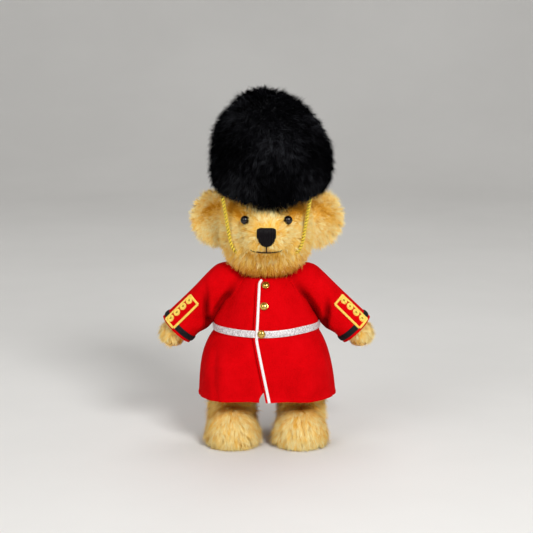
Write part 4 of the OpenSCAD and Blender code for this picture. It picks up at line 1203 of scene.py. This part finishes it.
def drape(a, z):
    """The skirt's soft waves, which grow to the hem, its bell, its dents and its rolled hem."""
    wave = 0.55 * np.sin(5 * a + 0.6) + 0.35 * np.sin(9 * a + 2.0) + 0.25 * np.sin(14 * a + 1.0)
    f = np.clip(to_hem(z), 0, 1)
    bell = (BELL - 0.5 * np.sin(a)) * np.sin(PI * f ** 0.75) * (0.35 + 0.65 * np.sin(a) ** 2)
    dent = -1.6 * spot(a, 0.6, 0.22, z, 69, 4.5)
    dent -= 1.2 * hump(a + 0.95 + 0.006 * (z - 60), 0.09) * ease(WAIST_Z - z, 3, 16)
    roll = 0.5 * ease(HEM_Z + 3.5 - z, 0, 3.5)
    return wave * ease(WAIST_Z - z, 4, 44) * 1.2 + bell + dent + roll


def crumple(a, z):
    """Slight pulls of the bodice between waist and armholes."""
    side = np.abs(np.sin(a))
    full = 1.6 * ease(side, 0.6, 0.95) * hump(z - 88, 6)
    return full + 0.6 * np.sin(7 * a + 0.06 * z) * ease(z, 82, 90) * (1 - ease(z, 104, 112)) * side


def square_front(a, z):
    """The skirt's front hangs flatter than its waist seam, so that a raised leg finds room under its corners."""
    a = np.minimum(np.abs(a), np.abs(TAU - a))
    push = CORNER_ROOM * ease(a, 0.2, 0.78) * (1 - ease(a, 1.1, 1.56)) * ease(WAIST_Z - z, 1, 21)
    return np.stack([0 * push, -push, 0 * push], -1)


def back_panel(z0, z1, nz, na):
    """The back of the skirt between the two flaps, with its edges tucked under them."""
    a = np.linspace(SIDE_A - 0.03, TAU - SIDE_A + 0.03, na)
    tuck = 1.0 - ease(np.minimum(a - a[0], a[-1] - a), 0.04, 0.16)
    return np.array([coat_pt(a, z, drape(a, z) + 0.1 - 1.0 * tuck) + square_front(a, z)
                     for z in np.linspace(z0, z1, nz)])


def side_panel(z0, z1, nz, na, left, wave, end=PI):
    """Half of the coat from its front edge round to the middle of the back, or to the angle where it ends."""
    rows = []
    for z in np.linspace(z0, z1, nz):
        lap = float(edge_a(z, -LAP))
        gone = float(ease(50.0 - z, 0, 14))
        a0 = lap if left else float(edge_a(z, UNDER * (1 - gone) - 6.3 * gone))
        a1 = end if left else -end
        a = a0 + (a1 - a0) * np.linspace(0, 1, na) ** 1.15
        off = wave(a, z)
        if left:
            off = off + 0.5 * (1 - ease(np.abs(a - a0) * coat_x(z), 2.0, 8.0))
        else:
            off = off - TUCK * ease(a - lap, -0.12, 0.02) * (1 - gone)
        off = off * (1 - ease(np.abs(a), PI - 0.25, PI))
        rows.append(coat_pt(a, z, off) + square_front(a, z))
    for f in (0.3, 0.6, 0.85, 1.0) if z1 > z0 else ():
        narrow = 1 - f * (1 - COLLAR_IN / float(coat_x(z1)))
        rows.append(rows[nz - 1] * vec(narrow, narrow, 1) + vec(0, 0, 0.7 * math.sin(f * PI / 2)))
    return np.array(rows)


def in_armhole(c):
    q = c * vec(1 if c[0] > 0 else -1, 1, 1) - SH
    h = q @ SH_N
    return h > -9 and np.linalg.norm(q - h * SH_N) < 11.7


SKIRT_TOP, BODICE_LOW, PANEL_ROWS = WAIST_Z + 1.2, WAIST_Z - 0.2, 44
me = sheet_mesh("skirt_back_felt", back_panel(SKIRT_TOP, HEM_Z, PANEL_ROWS, 120), FELT - 0.1, (0, 0, 60))
ob = link(me, RED_FELT, "torso")
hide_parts("skirt_back")
for left, tag in ((True, "left"), (False, "right")):
    rows = side_panel(SKIRT_TOP, HEM_Z, PANEL_ROWS, 60, left, lambda a, z: drape(a, z) + 0.1, SIDE_A + 0.03)
    ob = link(sheet_mesh("skirt_%s_felt" % tag, rows, FELT - 0.1, (0, 0, 60)), RED_FELT)
    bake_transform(ob)
    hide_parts("skirt_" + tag)
    rows = side_panel(BODICE_LOW, COAT_TOP, PANEL_ROWS, 90, left, crumple)
    me = shell_mesh("bodice_%s_felt" % tag, rows, FELT - 0.2, (0, 0, 95), in_armhole)
    ob = link(me, RED_FELT, "torso")
    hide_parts("coat_front_" + tag, "coat_back")

# Collar
collar_rows = [[[(COLLAR_R + 0.3 * f) * SIN(a), -(COLLAR_R + 0.3 * f) * COS(a), NECK_Z + 0.2 + COLLAR_H * f]
                for a in np.linspace(-PI, PI, 97)] for f in np.linspace(0, 1, 8)]
collar_ob = link(sheet_mesh("collar_felt", collar_rows, 1.3, (0, 0, NECK_Z + 2)), RED_FELT, "torso")
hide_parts("collar")


# Piping: a narrow satin cord sewn along the front edge
PIPING_HALF, PIPING_RISE, PIPING_SIDES = 1.0, 0.62, 12


def piping(name, z0, z1):
    z = np.linspace(z0, z1, 160)
    a = edge_a(z, 0.9)
    path = coat_pt(a, z, 0.5 + np.where(z < WAIST_Z, drape(a, z), crumple(a, z)) + 0.15)
    t = unit(np.gradient(path, axis=0))
    nrm = unit(np.stack([np.sin(a) / coat_x(z), -np.cos(a) / coat_y(z), 0 * a], 1))
    nrm = unit(nrm - t * np.sum(nrm * t, 1, keepdims=True))
    ang = (np.arange(PIPING_SIDES) * TAU / PIPING_SIDES)[None, :, None]
    across, up = np.cross(t, nrm)[:, None, :], nrm[:, None, :]
    rows = path[:, None, :] + PIPING_HALF * np.cos(ang) * across + PIPING_RISE * np.sin(ang) * up
    s = Soup()
    s.rings(rows, path[0], path[-1], True)
    return s.mesh(name)


upper = link(piping("coat_piping_cord", WAIST_Z - 0.5, COAT_TOP), WHITE_SATIN, "torso")
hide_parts("coat_piping")
lower = link(piping("skirt_piping_cord", HEM_Z + 0.1, WAIST_Z + 0.6), WHITE_SATIN)
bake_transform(lower)
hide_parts("skirt_piping")

# Belt: a woven ribbon with fine cross ribs, a little higher on one side
BELT_Z, BELT_W, BELT_TILT = WAIST_Z + 1.2, 4.9, 1.6
belt_rows = []
a = np.linspace(float(edge_a(84.0, 2.0)), TAU + float(edge_a(84.0, -0.2)), 360)
for f in np.linspace(0, 1, 15):
    z = BELT_Z + 0.5 + BELT_W * f + BELT_TILT * ease(np.sin(a), 0, 1)
    rib = 0.05 * np.sin(np.arange(360) * 2.2 + 14 * f)
    belt_rows.append(coat_pt(a, z, 0.62 + 0.2 * math.sin(PI * f) ** 0.6 + rib + crumple(a, z)))
belt_ob = link(sheet_mesh("belt_ribbon", belt_rows, 0.55, (0, 0, 83)), SILVER_RIBBON, "torso")
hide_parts("belt")

# Buttons: domed brass with a rolled rim
BUTTON_R = 2.8
buttons = Soup()
BUTTON_RIM = ((0.5, 0.0), (0.1, 0.15), (0, 0.45), (0.12, 0.72), (0.4, 0.8))
prof = [(0.01, 0.0)] + [(BUTTON_R - i, h) for i, h in BUTTON_RIM]
bp, bf = lathe(prof + dome(BUTTON_R - 0.5, 0.72, 1.25, 0.05, POLE, 12), 40)
TOP_BUTTON_Z, LOW_BUTTON_Z = COAT_TOP - 3.3, BELT_Z + 3.3
MID_BUTTON_Z = LOW_BUTTON_Z + 0.58 * (TOP_BUTTON_Z - LOW_BUTTON_Z)
for z, dx, seat in ((TOP_BUTTON_Z, 5.2, 0.2), (MID_BUTTON_Z, 4.9, 0.2), (LOW_BUTTON_Z, 4.1, 1.0)):
    a = float(edge_a(z, dx))
    lean = math.atan(float(coat_y(z - 1) - coat_y(z + 1)) / 2)
    c = coat_pt(a, z, seat + BUTTON_R ** 2 / float(coat_x(z)))
    nrm = vec(SIN(a) * COS(lean), -COS(a) * COS(lean), SIN(lean))
    e1 = unit(np.cross([0, 0, 1.0], nrm))
    buttons.add(c + bp[:, 0:1] * e1 + bp[:, 1:2] * np.cross(nrm, e1) + bp[:, 2:3] * nrm, bf)
button_ob = link(buttons.mesh("button_domes", 50), BRASS, "torso")
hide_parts("buttons")

# The eyes and the inner solids keep their shapes
INNER = {"eye": GLASS, "stuffing": STUFFING, "disc": BOARD, "washer": STEEL, "pin": STEEL}
for name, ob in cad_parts.items():
    words = [word.rstrip("s") for word in name.split("_")]
    for word, mat in INNER.items():
        if word in words:
            ob.data.materials.clear()
            ob.data.materials.append(mat)

# Floor with a rising backdrop, and lights
FLOOR_FRONT, FLOOR_HALF, BEND_Y, BEND_R, WALL_TOP = -3.0, 4.0, 1.2, 0.8, 3.0
prof = [(FLOOR_FRONT, 0.0), (BEND_Y, 0.0)]
prof += [(BEND_Y + BEND_R * SIN(x), BEND_R - BEND_R * COS(x)) for x in np.linspace(0.1, PI / 2, 12)]
prof += [(BEND_Y + BEND_R, WALL_TOP)]
floor_me = bpy.data.meshes.new("floor")
floor_me.from_pydata([[x, y, z] for y, z in prof for x in (-FLOOR_HALF, FLOOR_HALF)], [],
                     [(2 * k, 2 * k + 1, 2 * k + 3, 2 * k + 2) for k in range(len(prof) - 1)])
smooth_shaded(floor_me)
floor_me.materials.append(FLOOR)
floor = place("floor", floor_me)

world = bpy.data.worlds.new("studio")
bpy.context.scene.world = world
world.use_nodes = True
set_inputs(world.node_tree, world.node_tree.nodes["Background"], {"Color": (1, 0.99, 0.97, 1), "Strength": 0.28})
LIT = Vector((0, 0, 0.12))
for name, spot_at, size, power in (("key", (0.55, -1.2, 1.05), 0.5, 19), ("fill", (-0.9, -1.1, 0.9), 0.9, 7),
                                   ("top", (0.1, 0.5, 1.5), 0.8, 5)):
    lamp = place(name, bpy.data.lights.new(name, "AREA"))
    lamp.data.size = size
    lamp.data.energy = power
    lamp.location = spot_at
    lamp.rotation_euler = (LIT - lamp.location).to_track_quat("-Z", "Y").to_euler()
